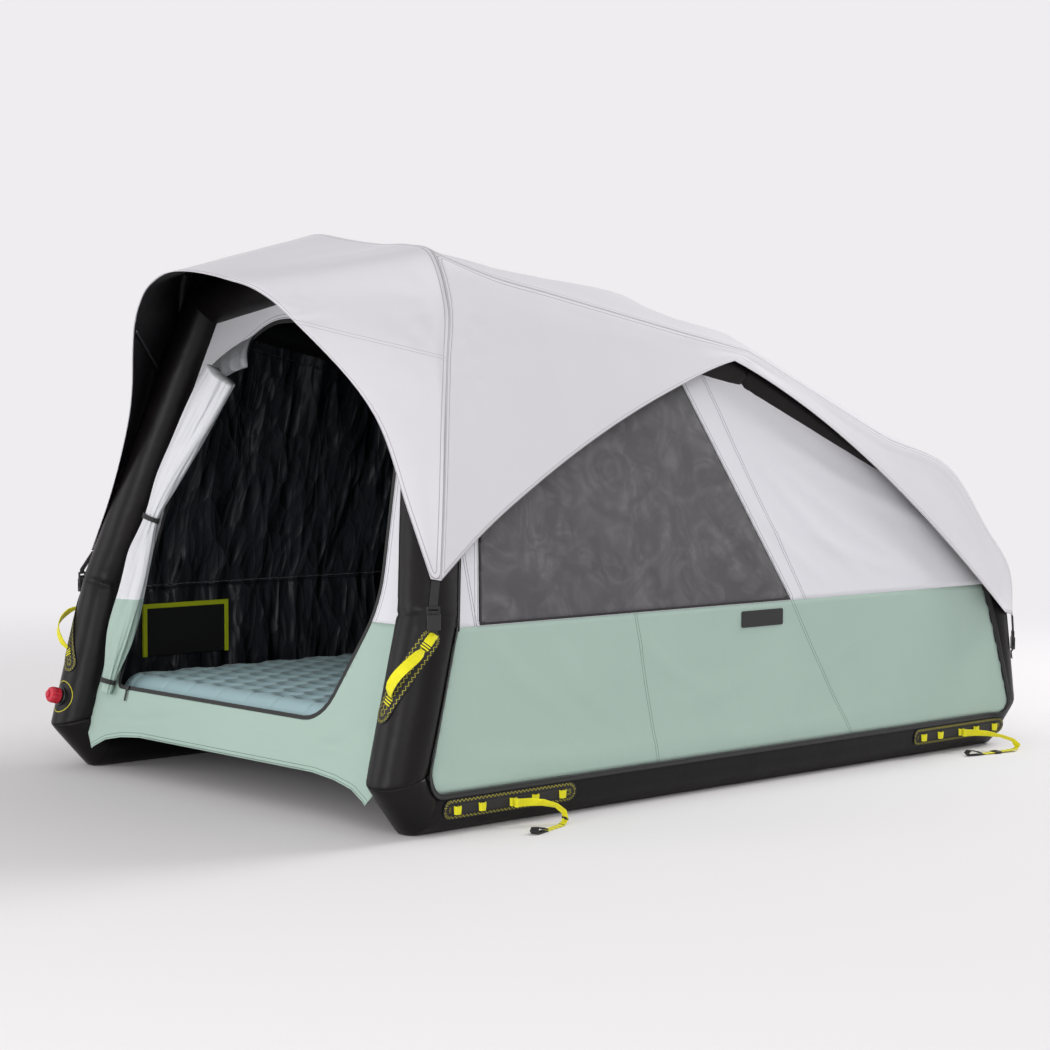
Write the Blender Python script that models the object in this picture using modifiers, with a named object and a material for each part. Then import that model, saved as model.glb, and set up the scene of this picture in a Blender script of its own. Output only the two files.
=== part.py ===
"""Two-person inflatable van tent: an air-tube frame, an inner tent, a fly sheet and their fittings.

Metres, +Z up. The door faces -Y, and the origin is on the ground under the middle of the tent.
The frame is two mitred loops of air tube, joined by three gabled headers. Every fabric panel runs
to the tubes' centre lines and is cut back there by slightly fatter copies of the tubes, so a change
of any tube carries its panels with it.
"""
import math

import bmesh
import bpy
from mathutils import Matrix, Vector

# Clearances
GAP = 0.0003
SEAM_GAP = 0.0005
HEADER_CUTTER_OVERRUN = 0.010

# Air tubes
TUBE_RADIUS = 0.066
TUBE_SIDES = 24
BASE_SINK = 0.004

# Frame, all distances behind the front foot's contact with the ground
FOOT_Y = -0.995
BASE_HALF_WIDTH = 0.644
BASE_FRONT = 0.030
BASE_REAR = 2.017
ANKLE_HALF_WIDTH = 0.655
ANKLE_HEIGHT = 0.128
KNEE_HALF_WIDTH = 0.649
KNEE_HEIGHT = 0.465
KNEE_FRONT = 0.062
KNEE_REAR = 2.026
FRONT_LEAN = 0.2595
SIDE_LEAN = 0.272
REAR_LEAN = -0.130
REAR_UPPER_LEAN = -0.601
FRONT_SHOULDER_HEIGHT = 1.190
MID_SHOULDER_HEIGHT = 1.013
MID_SHOULDER_BACK = 1.181
REAR_SHOULDER_HEIGHT = 0.683
FRONT_GABLE_RISE = 0.072
MID_GABLE_RISE = 0.150
MID_GABLE_BACK = 0.029
REAR_GABLE_RISE = 0.080

# Inner tent
FABRIC = 0.0015
PANEL_OFFSET = 0.040
SEAM_HEIGHT = 0.4435
FLOOR_HEIGHT = 0.115
ARCH_HEIGHT = 0.106
ARCH_HALF_WIDTH = 0.610
ARCH_FOOT_HEIGHT = 0.052
SILL_HEIGHT = 0.213
DOOR_TOP = 1.137
DOOR_MARGIN_LEFT = 0.143
DOOR_MARGIN_RIGHT = 0.164
DOOR_CROWN_SHARE = 0.2465
ZIP_WIDTH = 0.010
WINDOW_FRONT = 0.171
WINDOW_REAR = 1.188
WINDOW_SILL_RISE = 0.008
WINDOW_TOP_BACK = 0.951
WINDOW_TOP_DROP = 0.083
WINDOW_FRONT_TOP_BACK = 0.315
MESH_THICKNESS = 0.001

# Inside the tent
MATTRESS_WIDTH = 1.150
MATTRESS_LENGTH = 2.000
MATTRESS_THICKNESS = 0.132
MATTRESS_FRONT = 0.026
MATTRESS_EDGE = 0.030
POCKET_FRONT = 0.190
POCKET_LENGTH = 0.270
POCKET_BOTTOM = 0.262
POCKET_HEIGHT = 0.140
POCKET_DEPTH = 0.006
BINDING_WIDTH = 0.012

# Fly sheet
FLY_THICKNESS = 0.002
FLY_CLEARANCE = 0.006
FLY_SEAM = 0.0004
VISOR_REACH = 0.148
VISOR_HEIGHT = 1.230
FLY_CORNER_HEIGHT = 0.548
FLY_REAR_HEM = 0.353
HEM_APEX_HEIGHT = 1.036
BATTEN_DIAMETER = 0.006

# Webbing and fittings
WEBBING = 0.018
WEBBING_THICKNESS = 0.0015
PATCH_THICKNESS = 0.0016
PATCH_WIDTH = 0.045
ANCHOR_PATCH_LENGTH = 0.390
ANCHOR_FRONT = 0.055
ANCHOR_REAR = 1.665
ANCHOR_ANGLE = -7.0
LOOP_LENGTH = 0.028
LOOP_HEIGHT = 0.0085
LOOP_PLACES = (0.09, 0.27, 0.50, 0.67, 0.88)
KNOT_RADIUS = 0.006
KNOT_CLEARANCE = 0.0018
HANDLE_BOW = 0.030
HANDLE_THICKNESS = 0.0022
TACK_RADIUS = 0.0025
HANDLE_HEIGHTS = (0.392, 0.288)
HANDLE_PATCH_HEIGHTS = (0.436, 0.232)
HANDLE_ANGLES = (-19.0, -105.0)
BUCKLE_WIDTH = 0.030
SOCKET_LENGTH = 0.034
SOCKET_THICKNESS = 0.009
BUCKLE_WALL = 0.0016
PLUG_THICKNESS = 0.0045
FRONT_BUCKLE_HEIGHT = 0.470
FRONT_BUCKLE_ANGLE = -26.0
REAR_BUCKLE_HEIGHT = 0.285
REAR_BUCKLE_ANGLE = 45.0
VALVE_HEIGHT = 0.168
VALVE_BASE_RADIUS = 0.024
VALVE_CAP_RADIUS = 0.0205
VALVE_CAP_LENGTH = 0.025
TAG_LENGTH = 0.150
TAG_HEIGHT = 0.040
TAG_FRONT = 1.010

# Points on the frame


def behind(distance):
    """Y of a point that lies this far behind the front foot's contact with the ground."""
    return FOOT_Y + distance


def front_wall_y(z):
    return behind(KNEE_FRONT) + FRONT_LEAN * (z - KNEE_HEIGHT)


def leaning_x(z):
    """X of the tubes' centre plane above the knees."""
    return KNEE_HALF_WIDTH - SIDE_LEAN * (z - KNEE_HEIGHT)


def side_panel_x(z):
    return leaning_x(z) + PANEL_OFFSET


def rear_wall_y(z):
    lean = REAR_LEAN if z < KNEE_HEIGHT else REAR_UPPER_LEAN
    return behind(KNEE_REAR) + lean * (z - KNEE_HEIGHT)


BASE_HEIGHT = TUBE_RADIUS - BASE_SINK
BASE_A = Vector((BASE_HALF_WIDTH, behind(BASE_FRONT), BASE_HEIGHT))
BASE_B = Vector((BASE_HALF_WIDTH, behind(BASE_REAR), BASE_HEIGHT))
ANKLE_A = Vector((ANKLE_HALF_WIDTH, front_wall_y(ANKLE_HEIGHT), ANKLE_HEIGHT))
ANKLE_B = Vector((ANKLE_HALF_WIDTH, rear_wall_y(ANKLE_HEIGHT), ANKLE_HEIGHT))
KNEE_A = Vector((KNEE_HALF_WIDTH, behind(KNEE_FRONT), KNEE_HEIGHT))
KNEE_B = Vector((KNEE_HALF_WIDTH, behind(KNEE_REAR), KNEE_HEIGHT))
SHOULDER_A = Vector((leaning_x(FRONT_SHOULDER_HEIGHT), front_wall_y(FRONT_SHOULDER_HEIGHT),
                     FRONT_SHOULDER_HEIGHT))
SHOULDER_M = Vector((leaning_x(MID_SHOULDER_HEIGHT), behind(MID_SHOULDER_BACK), MID_SHOULDER_HEIGHT))
SHOULDER_B = Vector((leaning_x(REAR_SHOULDER_HEIGHT), rear_wall_y(REAR_SHOULDER_HEIGHT),
                     REAR_SHOULDER_HEIGHT))
SIDE_LOOP = [BASE_A, ANKLE_A, KNEE_A, SHOULDER_A, SHOULDER_M, SHOULDER_B, KNEE_B, ANKLE_B, BASE_B]

FRONT_PEAK_HEIGHT = FRONT_SHOULDER_HEIGHT + FRONT_GABLE_RISE
REAR_PEAK_HEIGHT = REAR_SHOULDER_HEIGHT + REAR_GABLE_RISE
FRONT_PEAK = Vector((0, front_wall_y(FRONT_PEAK_HEIGHT), FRONT_PEAK_HEIGHT))
MID_PEAK = Vector((0, SHOULDER_M.y + MID_GABLE_BACK, MID_SHOULDER_HEIGHT + MID_GABLE_RISE))
REAR_PEAK = Vector((0, rear_wall_y(REAR_PEAK_HEIGHT), REAR_PEAK_HEIGHT))


def flip(point):
    """The matching point on the left side."""
    return Vector((-point.x, point.y, point.z))


def at_height(low, high, z):
    """The point at height z on the line from low to high."""
    return low.lerp(high, (z - low.z) / (high.z - low.z))


def at_y(start, end, y):
    return start.lerp(end, (y - start.y) / (end.y - start.y))


# Blender helpers

for item in list(bpy.data.objects):
    bpy.data.objects.remove(item, do_unlink=True)

PARTS = bpy.data.collections.new("van_tent")
CUTTERS = bpy.data.collections.new("cutters")
bpy.context.scene.collection.children.link(PARTS)
bpy.context.scene.collection.children.link(CUTTERS)


def material(name, red, green, blue, roughness, metallic=0.0):
    made = bpy.data.materials.new(name)
    made.use_nodes = True
    shader = made.node_tree.nodes["Principled BSDF"]
    shader.inputs["Base Color"].default_value = (red, green, blue, 1.0)
    shader.inputs["Roughness"].default_value = roughness
    shader.inputs["Metallic"].default_value = metallic
    made.diffuse_color = (red, green, blue, 1.0)
    return made


SLEEVE = material("tube_sleeve", 0.024, 0.021, 0.022, 0.45)
GREEN = material("green_fabric", 0.42, 0.56, 0.48, 0.75)
WHITE = material("white_fabric", 0.74, 0.75, 0.78, 0.7)
MESH = material("window_mesh", 0.10, 0.10, 0.105, 0.8)
BLACK = material("black_lining", 0.008, 0.009, 0.010, 0.5)
FLY = material("fly_fabric", 0.66, 0.65, 0.69, 0.7)
YELLOW = material("yellow_webbing", 0.86, 0.82, 0.01, 0.7)
BLACK_WEBBING = material("black_webbing", 0.010, 0.010, 0.011, 0.8)
TAPE = material("pocket_tape", 0.42, 0.52, 0.02, 0.8)
PLASTIC = material("black_plastic", 0.012, 0.012, 0.013, 0.35)
RED = material("red_plastic", 0.62, 0.015, 0.04, 0.35)
AIRBED = material("airbed", 0.40, 0.52, 0.55, 0.6)
GLASS_FIBRE = material("glass_fibre", 0.05, 0.05, 0.055, 0.4)


def add(name, mesh, finish=None, collection=PARTS):
    """An object for a mesh that is already placed in the world."""
    made = bpy.data.objects.new(name, mesh)
    collection.objects.link(made)
    if finish is not None:
        mesh.materials.clear()
        mesh.materials.append(finish)
    if collection is CUTTERS:
        made.hide_render = True
        made.display_type = "WIRE"
    return made


def baked(made):
    """Give an object its finished mesh, with curves, modifiers and placement worked in."""
    bpy.context.view_layer.update()
    depsgraph = bpy.context.evaluated_depsgraph_get()
    mesh = bpy.data.meshes.new_from_object(made.evaluated_get(depsgraph), depsgraph=depsgraph)
    mesh.transform(made.matrix_world)
    work = bmesh.new()
    work.from_mesh(mesh)
    bmesh.ops.remove_doubles(work, verts=work.verts, dist=0.00001)
    bmesh.ops.recalc_face_normals(work, faces=work.faces)
    work.to_mesh(mesh)
    work.free()
    name, collection = made.name, made.users_collection[0]
    finish = mesh.materials[0] if mesh.materials else None
    bpy.data.objects.remove(made, do_unlink=True)
    return add(name, mesh, finish, collection)


def without_slivers(made):
    """Keep only the largest body, where the facets of two tubes leave crumbs between them."""
    work = bmesh.new()
    work.from_mesh(made.data)
    unseen = set(work.verts)
    bodies = []
    while unseen:
        body, border = set(), [unseen.pop()]
        while border:
            vert = border.pop()
            body.add(vert)
            for edge in vert.link_edges:
                other = edge.other_vert(vert)
                if other in unseen:
                    unseen.remove(other)
                    border.append(other)
        bodies.append(body)
    bodies.sort(key=lambda body: sum(face.calc_area() for vert in body for face in vert.link_faces))
    bmesh.ops.delete(work, geom=[vert for body in bodies[:-1] for vert in body], context="VERTS")
    work.to_mesh(made.data)
    work.free()
    return made


def cut(made, *tools):
    for tool in tools:
        modifier = made.modifiers.new("cut", "BOOLEAN")
        modifier.operation = "DIFFERENCE"
        modifier.object = tool
    return without_slivers(baked(made))


def joined(made, *others):
    """Unite solids that touch into one body."""
    for other in others:
        modifier = made.modifiers.new("join", "BOOLEAN")
        modifier.operation = "UNION"
        modifier.object = other
    made = baked(made)
    for other in others:
        bpy.data.objects.remove(other, do_unlink=True)
    return made


def mirrored(made, name):
    """The left-hand copy of a right-hand object."""
    mesh = made.data.copy()
    mesh.transform(Matrix.Diagonal((-1.0, 1.0, 1.0, 1.0)))
    mesh.flip_normals()
    return add(name, mesh)


def both_sides(made):
    """Rename a right-hand object and add its left-hand copy."""
    stem = made.name
    made.name = stem + "_right"
    return made, mirrored(made, stem + "_left")


def loft(name, rings, finish=None, closed=False, collection=PARTS):
    """Bridge matching rings of points into one closed body."""
    work = bmesh.new()
    rows = [[work.verts.new(point) for point in ring] for ring in rings]
    count = len(rows[0])
    pairs = list(zip(rows, rows[1:]))
    if closed:
        pairs.append((rows[-1], rows[0]))
    for row, after in pairs:
        for index in range(count):
            following = (index + 1) % count
            work.faces.new((row[index], row[following], after[following], after[index]))
    if not closed:
        work.faces.new(list(reversed(rows[0])))
        work.faces.new(rows[-1])
    bmesh.ops.recalc_face_normals(work, faces=work.faces)
    mesh = bpy.data.meshes.new(name)
    work.to_mesh(mesh)
    work.free()
    return add(name, mesh, finish, collection)


def slab(name, top, bottom, finish):
    """A thin body between two matching grids of points."""
    work = bmesh.new()
    above = [[work.verts.new(point) for point in row] for row in top]
    below = [[work.verts.new(point) for point in row] for row in bottom]
    rows, columns = len(top), len(top[0])
    for i in range(rows - 1):
        for j in range(columns - 1):
            corners = [(i, j), (i, j + 1), (i + 1, j + 1), (i + 1, j)]
            first, second, third, fourth = (Vector(top[a][b]) for a, b in corners)
            if (second - fourth).length < (first - third).length - GAP:
                corners = corners[1:] + corners[:1]
            for triangle in (corners[:3], corners[2:] + corners[:1]):
                work.faces.new([above[a][b] for a, b in triangle])
                work.faces.new([below[a][b] for a, b in reversed(triangle)])
    for i in range(rows - 1):
        for j in (0, columns - 1):
            work.faces.new((above[i][j], above[i + 1][j], below[i + 1][j], below[i][j]))
    for j in range(columns - 1):
        for i in (0, rows - 1):
            work.faces.new((above[i][j], above[i][j + 1], below[i][j + 1], below[i][j]))
    bmesh.ops.recalc_face_normals(work, faces=work.faces)
    mesh = bpy.data.meshes.new(name)
    work.to_mesh(mesh)
    work.free()
    return add(name, mesh, finish)


def placed(origin, u, v):
    """The matrix of a drawing plane with axes u and v at origin."""
    u, v = Vector(u).normalized(), Vector(v).normalized()
    w = u.cross(v)
    return Matrix.Translation(origin) @ Matrix((u, v, w)).transposed().to_4x4()


def flat_piece(name, outlines, thickness, matrix, finish=None, collection=PARTS):
    """An extruded flat outline; the outlines after the first are holes in it."""
    curve = bpy.data.curves.new(name, "CURVE")
    curve.dimensions = "2D"
    curve.fill_mode = "BOTH"
    curve.extrude = thickness / 2
    for outline in outlines:
        spline = curve.splines.new("POLY")
        spline.points.add(len(outline) - 1)
        for point, (u, v) in zip(spline.points, outline):
            point.co = (u, v, 0.0, 1.0)
        spline.use_cyclic_u = True
    made = bpy.data.objects.new(name, curve)
    collection.objects.link(made)
    made.matrix_world = matrix
    if finish is not None:
        curve.materials.append(finish)
    return baked(made)


def box(name, low, high, matrix, finish=None, collection=PARTS, bevel=0.0):
    """A block between two corners of the plane's own axes."""
    low, high = Vector(low), Vector(high)
    work = bmesh.new()
    bmesh.ops.create_cube(work, size=1.0)
    for vert in work.verts:
        vert.co = (low + high) / 2 + Matrix.Diagonal(high - low) @ vert.co
    if bevel:
        bmesh.ops.bevel(work, geom=work.edges, offset=bevel, segments=1, affect="EDGES", profile=0.5,
                        material=-1)
    mesh = bpy.data.meshes.new(name)
    work.to_mesh(mesh)
    work.free()
    mesh.transform(matrix)
    return add(name, mesh, finish, collection)


def rectangle(low_u, high_u, low_v, high_v):
    return [(low_u, low_v), (high_u, low_v), (high_u, high_v), (low_u, high_v)]


def rounded(corners, radii, steps=5):
    """A closed outline whose corners are arcs of the given radii."""
    outline = []
    count = len(corners)
    for index, (corner, radius) in enumerate(zip(corners, radii)):
        here = Vector(corner)
        before = (Vector(corners[index - 1]) - here).normalized()
        after = (Vector(corners[(index + 1) % count]) - here).normalized()
        half = before.angle(after) / 2
        reach = radius / math.tan(half)
        centre = here + (before + after).normalized() * radius / math.sin(half)
        start = (here + before * reach) - centre
        sweep = math.pi - 2 * half
        turn = -1 if before.x * after.y - before.y * after.x > 0 else 1
        for step in range(steps + 1):
            angle = turn * sweep * step / steps
            turned_start = Matrix.Rotation(angle, 2) @ start
            outline.append(tuple(centre + turned_start))
    return outline


def inset(outline, distance):
    """A counter-clockwise outline moved inwards."""
    moved = []
    count = len(outline)
    for index in range(count):
        before, here, after = (Vector(outline[(index + k) % count]) for k in (-1, 0, 1))
        one, two = (here - before).normalized(), (after - here).normalized()
        normal = Vector((-one.y - two.y, one.x + two.x)).normalized()
        stretch = max(0.5, normal.x * -one.y + normal.y * one.x)
        moved.append(tuple(here + normal * distance / stretch))
    return moved


def ribbon(name, path, across, width, finish=None, thickness=WEBBING_THICKNESS, collection=PARTS):
    """Flat webbing along a path, with its width laid along the across vectors."""
    rings = []
    last = len(path) - 1
    for index, here in enumerate(path):
        tangent = (path[min(index + 1, last)] - path[max(index - 1, 0)]).normalized()
        side = Vector(across[index])
        side = (side - tangent * side.dot(tangent)).normalized()
        up = side.cross(tangent) * thickness / 2
        span = side * (width[index] if isinstance(width, (list, tuple)) else width) / 2
        rings.append([here - span - up, here + span - up, here + span + up, here - span + up])
    return loft(name, rings, finish, collection=collection)


# Air-tube frame


def mitred_rings(points, radius, closed=False, shifts=()):
    """Rings of a tube, each on the plane that halves the bend at its point, or shifted off that plane."""
    count = len(points)
    shift_at = dict(shifts)
    rings = []
    offset = None
    for index, here in enumerate(points):
        before = points[index - 1] if index or closed else None
        after = points[(index + 1) % count] if index < count - 1 or closed else None
        arriving = (here - before if before else after - here).normalized()
        leaving = (after - here).normalized() if after else arriving
        if offset is None:
            down = Vector((0, 0, -1))
            offset = (down - arriving * down.dot(arriving)).normalized()
        normal = (arriving + leaving).normalized()
        turn = arriving.rotation_difference(leaving)
        shift = shift_at.get(index, 0.0)
        along, spoke = (leaving, turn @ offset) if shift > 0 else (arriving, offset.copy())
        ring = []
        for step in range(TUBE_SIDES):
            reach = Matrix.Rotation(math.tau * step / TUBE_SIDES, 3, along) @ spoke * radius
            slide = (normal * shift - reach).dot(normal) / along.dot(normal)
            ring.append(here + reach + along * slide)
        rings.append(ring)
        offset = turn @ offset
    return rings


def loop_tube(name, stops, patches=()):
    """One sewn length of a side loop with its patches, kept clear of its neighbours at both mitres."""
    pull = GAP / 2 + 0.00001
    rings = mitred_rings(SIDE_LOOP, TUBE_RADIUS, closed=True, shifts=((stops[0], pull), (stops[-1], -pull)))
    rings = [rings[stop] for stop in stops]
    for ring in rings:
        for point in ring:
            point.z = max(point.z, 0.0)
    return joined(loft(name, rings, SLEEVE), *patches)


def fat_header(name, shoulder, peak):
    """A cutter for a header tube, whose ends run on past the side loops' centre lines."""
    end = shoulder + (shoulder - peak).normalized() * HEADER_CUTTER_OVERRUN
    rings = mitred_rings([end, peak, flip(end)], TUBE_RADIUS + GAP)
    return loft(name, rings, collection=CUTTERS)


FAT_LOOP = mitred_rings(SIDE_LOOP, TUBE_RADIUS + GAP, closed=True)
LOOP_CUTTER = loft("fat_loop", FAT_LOOP, closed=True, collection=CUTTERS)
LOOP_CUTTER_LEFT = add("fat_loop_left", LOOP_CUTTER.data.copy(), collection=CUTTERS)
LOOP_CUTTER_LEFT.data.transform(Matrix.Diagonal((-1.0, 1.0, 1.0, 1.0)))
LOOP_CUTTER_LEFT.data.flip_normals()
LOOPS = (LOOP_CUTTER, LOOP_CUTTER_LEFT)
FRONT_HEADER_CUTTER = fat_header("fat_front_header", SHOULDER_A, FRONT_PEAK)
MID_HEADER_CUTTER = fat_header("fat_mid_header", SHOULDER_M, MID_PEAK)
REAR_HEADER_CUTTER = fat_header("fat_rear_header", SHOULDER_B, REAR_PEAK)


def build_frame():
    base_a, ankle_a, knee_a, shoulder_a, shoulder_m, shoulder_b, knee_b, ankle_b, base_b = range(9)
    both_sides(loop_tube("base_tube", [ankle_b, base_b, base_a, ankle_a], anchor_patches()))
    both_sides(loop_tube("front_leg", [ankle_a, knee_a, shoulder_a], [handle_patch()] + handle_tacks()))
    both_sides(loop_tube("roof_rail", [shoulder_a, shoulder_m, shoulder_b]))
    both_sides(loop_tube("rear_leg", [shoulder_b, knee_b, ankle_b], [rear_buckle_patch()]))
    headers = (("front_header", SHOULDER_A, FRONT_PEAK), ("mid_header", SHOULDER_M, MID_PEAK),
               ("rear_header", SHOULDER_B, REAR_PEAK))
    for name, shoulder, peak in headers:
        header = loft(name, mitred_rings([shoulder, peak, flip(shoulder)], TUBE_RADIUS), SLEEVE)
        cut(header, *LOOPS)


# Inner tent

FRONT_WALL = placed((0, front_wall_y(0), 0), (1, 0, 0), (0, FRONT_LEAN, 1))
SIDE_WALL = placed((side_panel_x(SEAM_HEIGHT), 0, 0), (0, 1, 0), (0, 0, 1))
UPPER_SIDE_WALL = placed((side_panel_x(0), 0, 0), (0, 1, 0), (-SIDE_LEAN, 0, 1))


def on_front_wall(outline):
    """Points given as x and true height, drawn on the leaning front wall."""
    return [(x, z * math.hypot(1, FRONT_LEAN)) for x, z in outline]


def on_upper_side(outline):
    return [(y, z * math.hypot(1, SIDE_LEAN)) for y, z in outline]


def door_outline():
    """The door is a rounded arch whose hinge side, on the left, runs down to a square corner."""
    left, right = KNEE_HALF_WIDTH - DOOR_MARGIN_LEFT, KNEE_HALF_WIDTH - DOOR_MARGIN_RIGHT
    crown = DOOR_CROWN_SHARE * KNEE_HALF_WIDTH
    corners = [(-left, SILL_HEIGHT), (right - 0.130, SILL_HEIGHT), (right, 0.480), (right - 0.070, 0.990),
               (crown, DOOR_TOP), (-crown, DOOR_TOP), (0.081 - left, 0.985)]
    radii = [0.020, 0.110, 0.250, 0.100, 0.200, 0.200, 0.100]
    return rounded(corners, radii)


def build_front_wall():
    door = on_front_wall(door_outline())
    hole = flat_piece("door_hole", [door], 0.2, FRONT_WALL, collection=CUTTERS)
    reach = ANKLE_HALF_WIDTH + 0.005
    arch = [(-reach, 0.024), (-ARCH_HALF_WIDTH, ARCH_FOOT_HEIGHT), (-0.545, 0.082), (-0.470, 0.099),
            (-0.360, ARCH_HEIGHT), (0.360, ARCH_HEIGHT), (0.470, 0.099), (0.545, 0.082),
            (ARCH_HALF_WIDTH, ARCH_FOOT_HEIGHT), (reach, 0.024)]
    seam = SEAM_HEIGHT - SEAM_GAP / 2
    lower = on_front_wall(arch + [(KNEE_HALF_WIDTH, seam), (-KNEE_HALF_WIDTH, seam)])
    panel = flat_piece("front_panel_lower", [lower], FABRIC, FRONT_WALL, GREEN)
    cut(panel, hole, *LOOPS)
    seam = SEAM_HEIGHT + SEAM_GAP / 2
    upper = on_front_wall([(-KNEE_HALF_WIDTH, seam), (KNEE_HALF_WIDTH, seam), (KNEE_HALF_WIDTH, KNEE_HEIGHT),
                           (SHOULDER_A.x, SHOULDER_A.z), (0, FRONT_PEAK.z), (-SHOULDER_A.x, SHOULDER_A.z),
                           (-KNEE_HALF_WIDTH, KNEE_HEIGHT)])
    panel = flat_piece("front_panel_upper", [upper], FABRIC, FRONT_WALL, WHITE)
    cut(panel, hole, FRONT_HEADER_CUTTER, *LOOPS)
    outer, inner = inset(door, GAP), inset(door, ZIP_WIDTH)
    flat_piece("door_zip_tape", [outer, inner], 2 * FABRIC, FRONT_WALL, BLACK_WEBBING)


def build_side_walls():
    low, high = SEAM_HEIGHT - SEAM_GAP / 2, SEAM_HEIGHT + SEAM_GAP / 2
    front_low, rear_low = at_height(ANKLE_A, KNEE_A, low), at_height(ANKLE_B, KNEE_B, low)
    lower = [(p.y, p.z) for p in (BASE_A, BASE_B, ANKLE_B, rear_low, front_low, ANKLE_A)]
    panel = flat_piece("side_panel_lower", [lower], FABRIC, SIDE_WALL, GREEN)
    both_sides(cut(panel, LOOP_CUTTER))
    front_high, rear_high = at_height(ANKLE_A, KNEE_A, high), at_height(ANKLE_B, KNEE_B, high)
    upper = [(p.y, p.z) for p in (front_high, rear_high, KNEE_B, SHOULDER_B, SHOULDER_M, SHOULDER_A, KNEE_A)]
    sill = SEAM_HEIGHT + WINDOW_SILL_RISE
    top_rear = at_y(SHOULDER_A, SHOULDER_M, behind(WINDOW_TOP_BACK)).z - WINDOW_TOP_DROP
    top_front = at_y(SHOULDER_A, SHOULDER_M, behind(WINDOW_FRONT_TOP_BACK)).z - WINDOW_TOP_DROP
    window = [(behind(WINDOW_FRONT), sill), (behind(WINDOW_REAR), sill), (behind(WINDOW_TOP_BACK), top_rear),
              (behind(WINDOW_FRONT_TOP_BACK), top_front)]
    hole = on_upper_side(window)
    panel = flat_piece("side_panel_upper", [on_upper_side(upper), hole], FABRIC, UPPER_SIDE_WALL, WHITE)
    both_sides(cut(panel, LOOP_CUTTER))
    both_sides(flat_piece("side_window", [inset(hole, GAP)], MESH_THICKNESS, UPPER_SIDE_WALL, MESH))


def fabric_grid(name, rows, finish):
    """A thin sheet through a coarse grid of points."""
    work = bmesh.new()
    verts = [[work.verts.new(point) for point in row] for row in rows]
    for row, after in zip(verts, verts[1:]):
        for a, b, c, d in zip(row, row[1:], after[1:], after):
            work.faces.new((a, b, c, d))
    bmesh.ops.recalc_face_normals(work, faces=work.faces)
    bmesh.ops.triangulate(work, faces=work.faces)
    mesh = bpy.data.meshes.new(name)
    work.to_mesh(mesh)
    work.free()
    made = add(name, mesh, finish)
    solid = made.modifiers.new("thickness", "SOLIDIFY")
    solid.thickness = FABRIC
    solid.offset = 0.0
    solid.use_even_offset = True
    return baked(made)


def build_roof_and_rear():
    front = [flip(SHOULDER_A), FRONT_PEAK, SHOULDER_A]
    middle = [flip(SHOULDER_M), MID_PEAK, SHOULDER_M]
    rear = [flip(SHOULDER_B), REAR_PEAK, SHOULDER_B]
    roof = fabric_grid("inner_roof_front", [front, middle], BLACK)
    cut(roof, FRONT_HEADER_CUTTER, MID_HEADER_CUTTER, *LOOPS)
    roof = fabric_grid("inner_roof_rear", [middle, rear], BLACK)
    cut(roof, MID_HEADER_CUTTER, REAR_HEADER_CUTTER, *LOOPS)
    foot = FLOOR_HEIGHT - 3 * FABRIC
    below = Vector((ANKLE_HALF_WIDTH, rear_wall_y(foot), foot))
    wall = [[flip(below), Vector((0, below.y, foot)), below],
            [flip(KNEE_B), Vector((0, KNEE_B.y, KNEE_B.z)), KNEE_B], rear]
    cut(fabric_grid("rear_panel", wall, WHITE), REAR_HEADER_CUTTER, *LOOPS)


def build_floor():
    middle = FLOOR_HEIGHT - FABRIC
    clear = FABRIC / 2 + FABRIC * FRONT_LEAN + GAP
    front, rear = front_wall_y(middle) + clear, rear_wall_y(middle) - clear
    outline = rectangle(-BASE_HALF_WIDTH, BASE_HALF_WIDTH, front, rear)
    plane = placed((0, 0, middle), (1, 0, 0), (0, 1, 0))
    cut(flat_piece("floor_sheet", [outline], 2 * FABRIC, plane, BLACK), *LOOPS)
    bottom = FLOOR_HEIGHT + GAP
    low = (-MATTRESS_WIDTH / 2, behind(MATTRESS_FRONT), bottom)
    high = (MATTRESS_WIDTH / 2, behind(MATTRESS_FRONT) + MATTRESS_LENGTH, bottom + MATTRESS_THICKNESS)
    bed = box("mattress", low, high, Matrix.Identity(4), AIRBED)
    bevel = bed.modifiers.new("edge", "BEVEL")
    bevel.width = MATTRESS_EDGE
    bevel.segments = 3
    baked(bed)


def build_pocket():
    """A flat pocket on the left wall, its top and sides bound with tape."""
    face = -side_panel_x(SEAM_HEIGHT) + FABRIC / 2 + GAP
    low_y, high_y = behind(POCKET_FRONT), behind(POCKET_FRONT) + POCKET_LENGTH
    top = POCKET_BOTTOM + POCKET_HEIGHT
    pouch = ((face, low_y, POCKET_BOTTOM), (face + POCKET_DEPTH, high_y, top))
    pouch = box("side_pocket", *pouch, Matrix.Identity(4), TAPE, bevel=FABRIC)
    inner_low, inner_high = low_y + BINDING_WIDTH, high_y - BINDING_WIDTH
    inner_top = top - BINDING_WIDTH
    outline = [(low_y, POCKET_BOTTOM), (inner_low, POCKET_BOTTOM), (inner_low, inner_top),
               (inner_high, inner_top), (inner_high, POCKET_BOTTOM), (high_y, POCKET_BOTTOM),
               (high_y, top), (low_y, top)]
    plane = placed((face + POCKET_DEPTH, 0, 0), (0, 1, 0), (0, 0, 1))
    joined(pouch, flat_piece("binding", [outline], 2 * FABRIC, plane))


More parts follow.
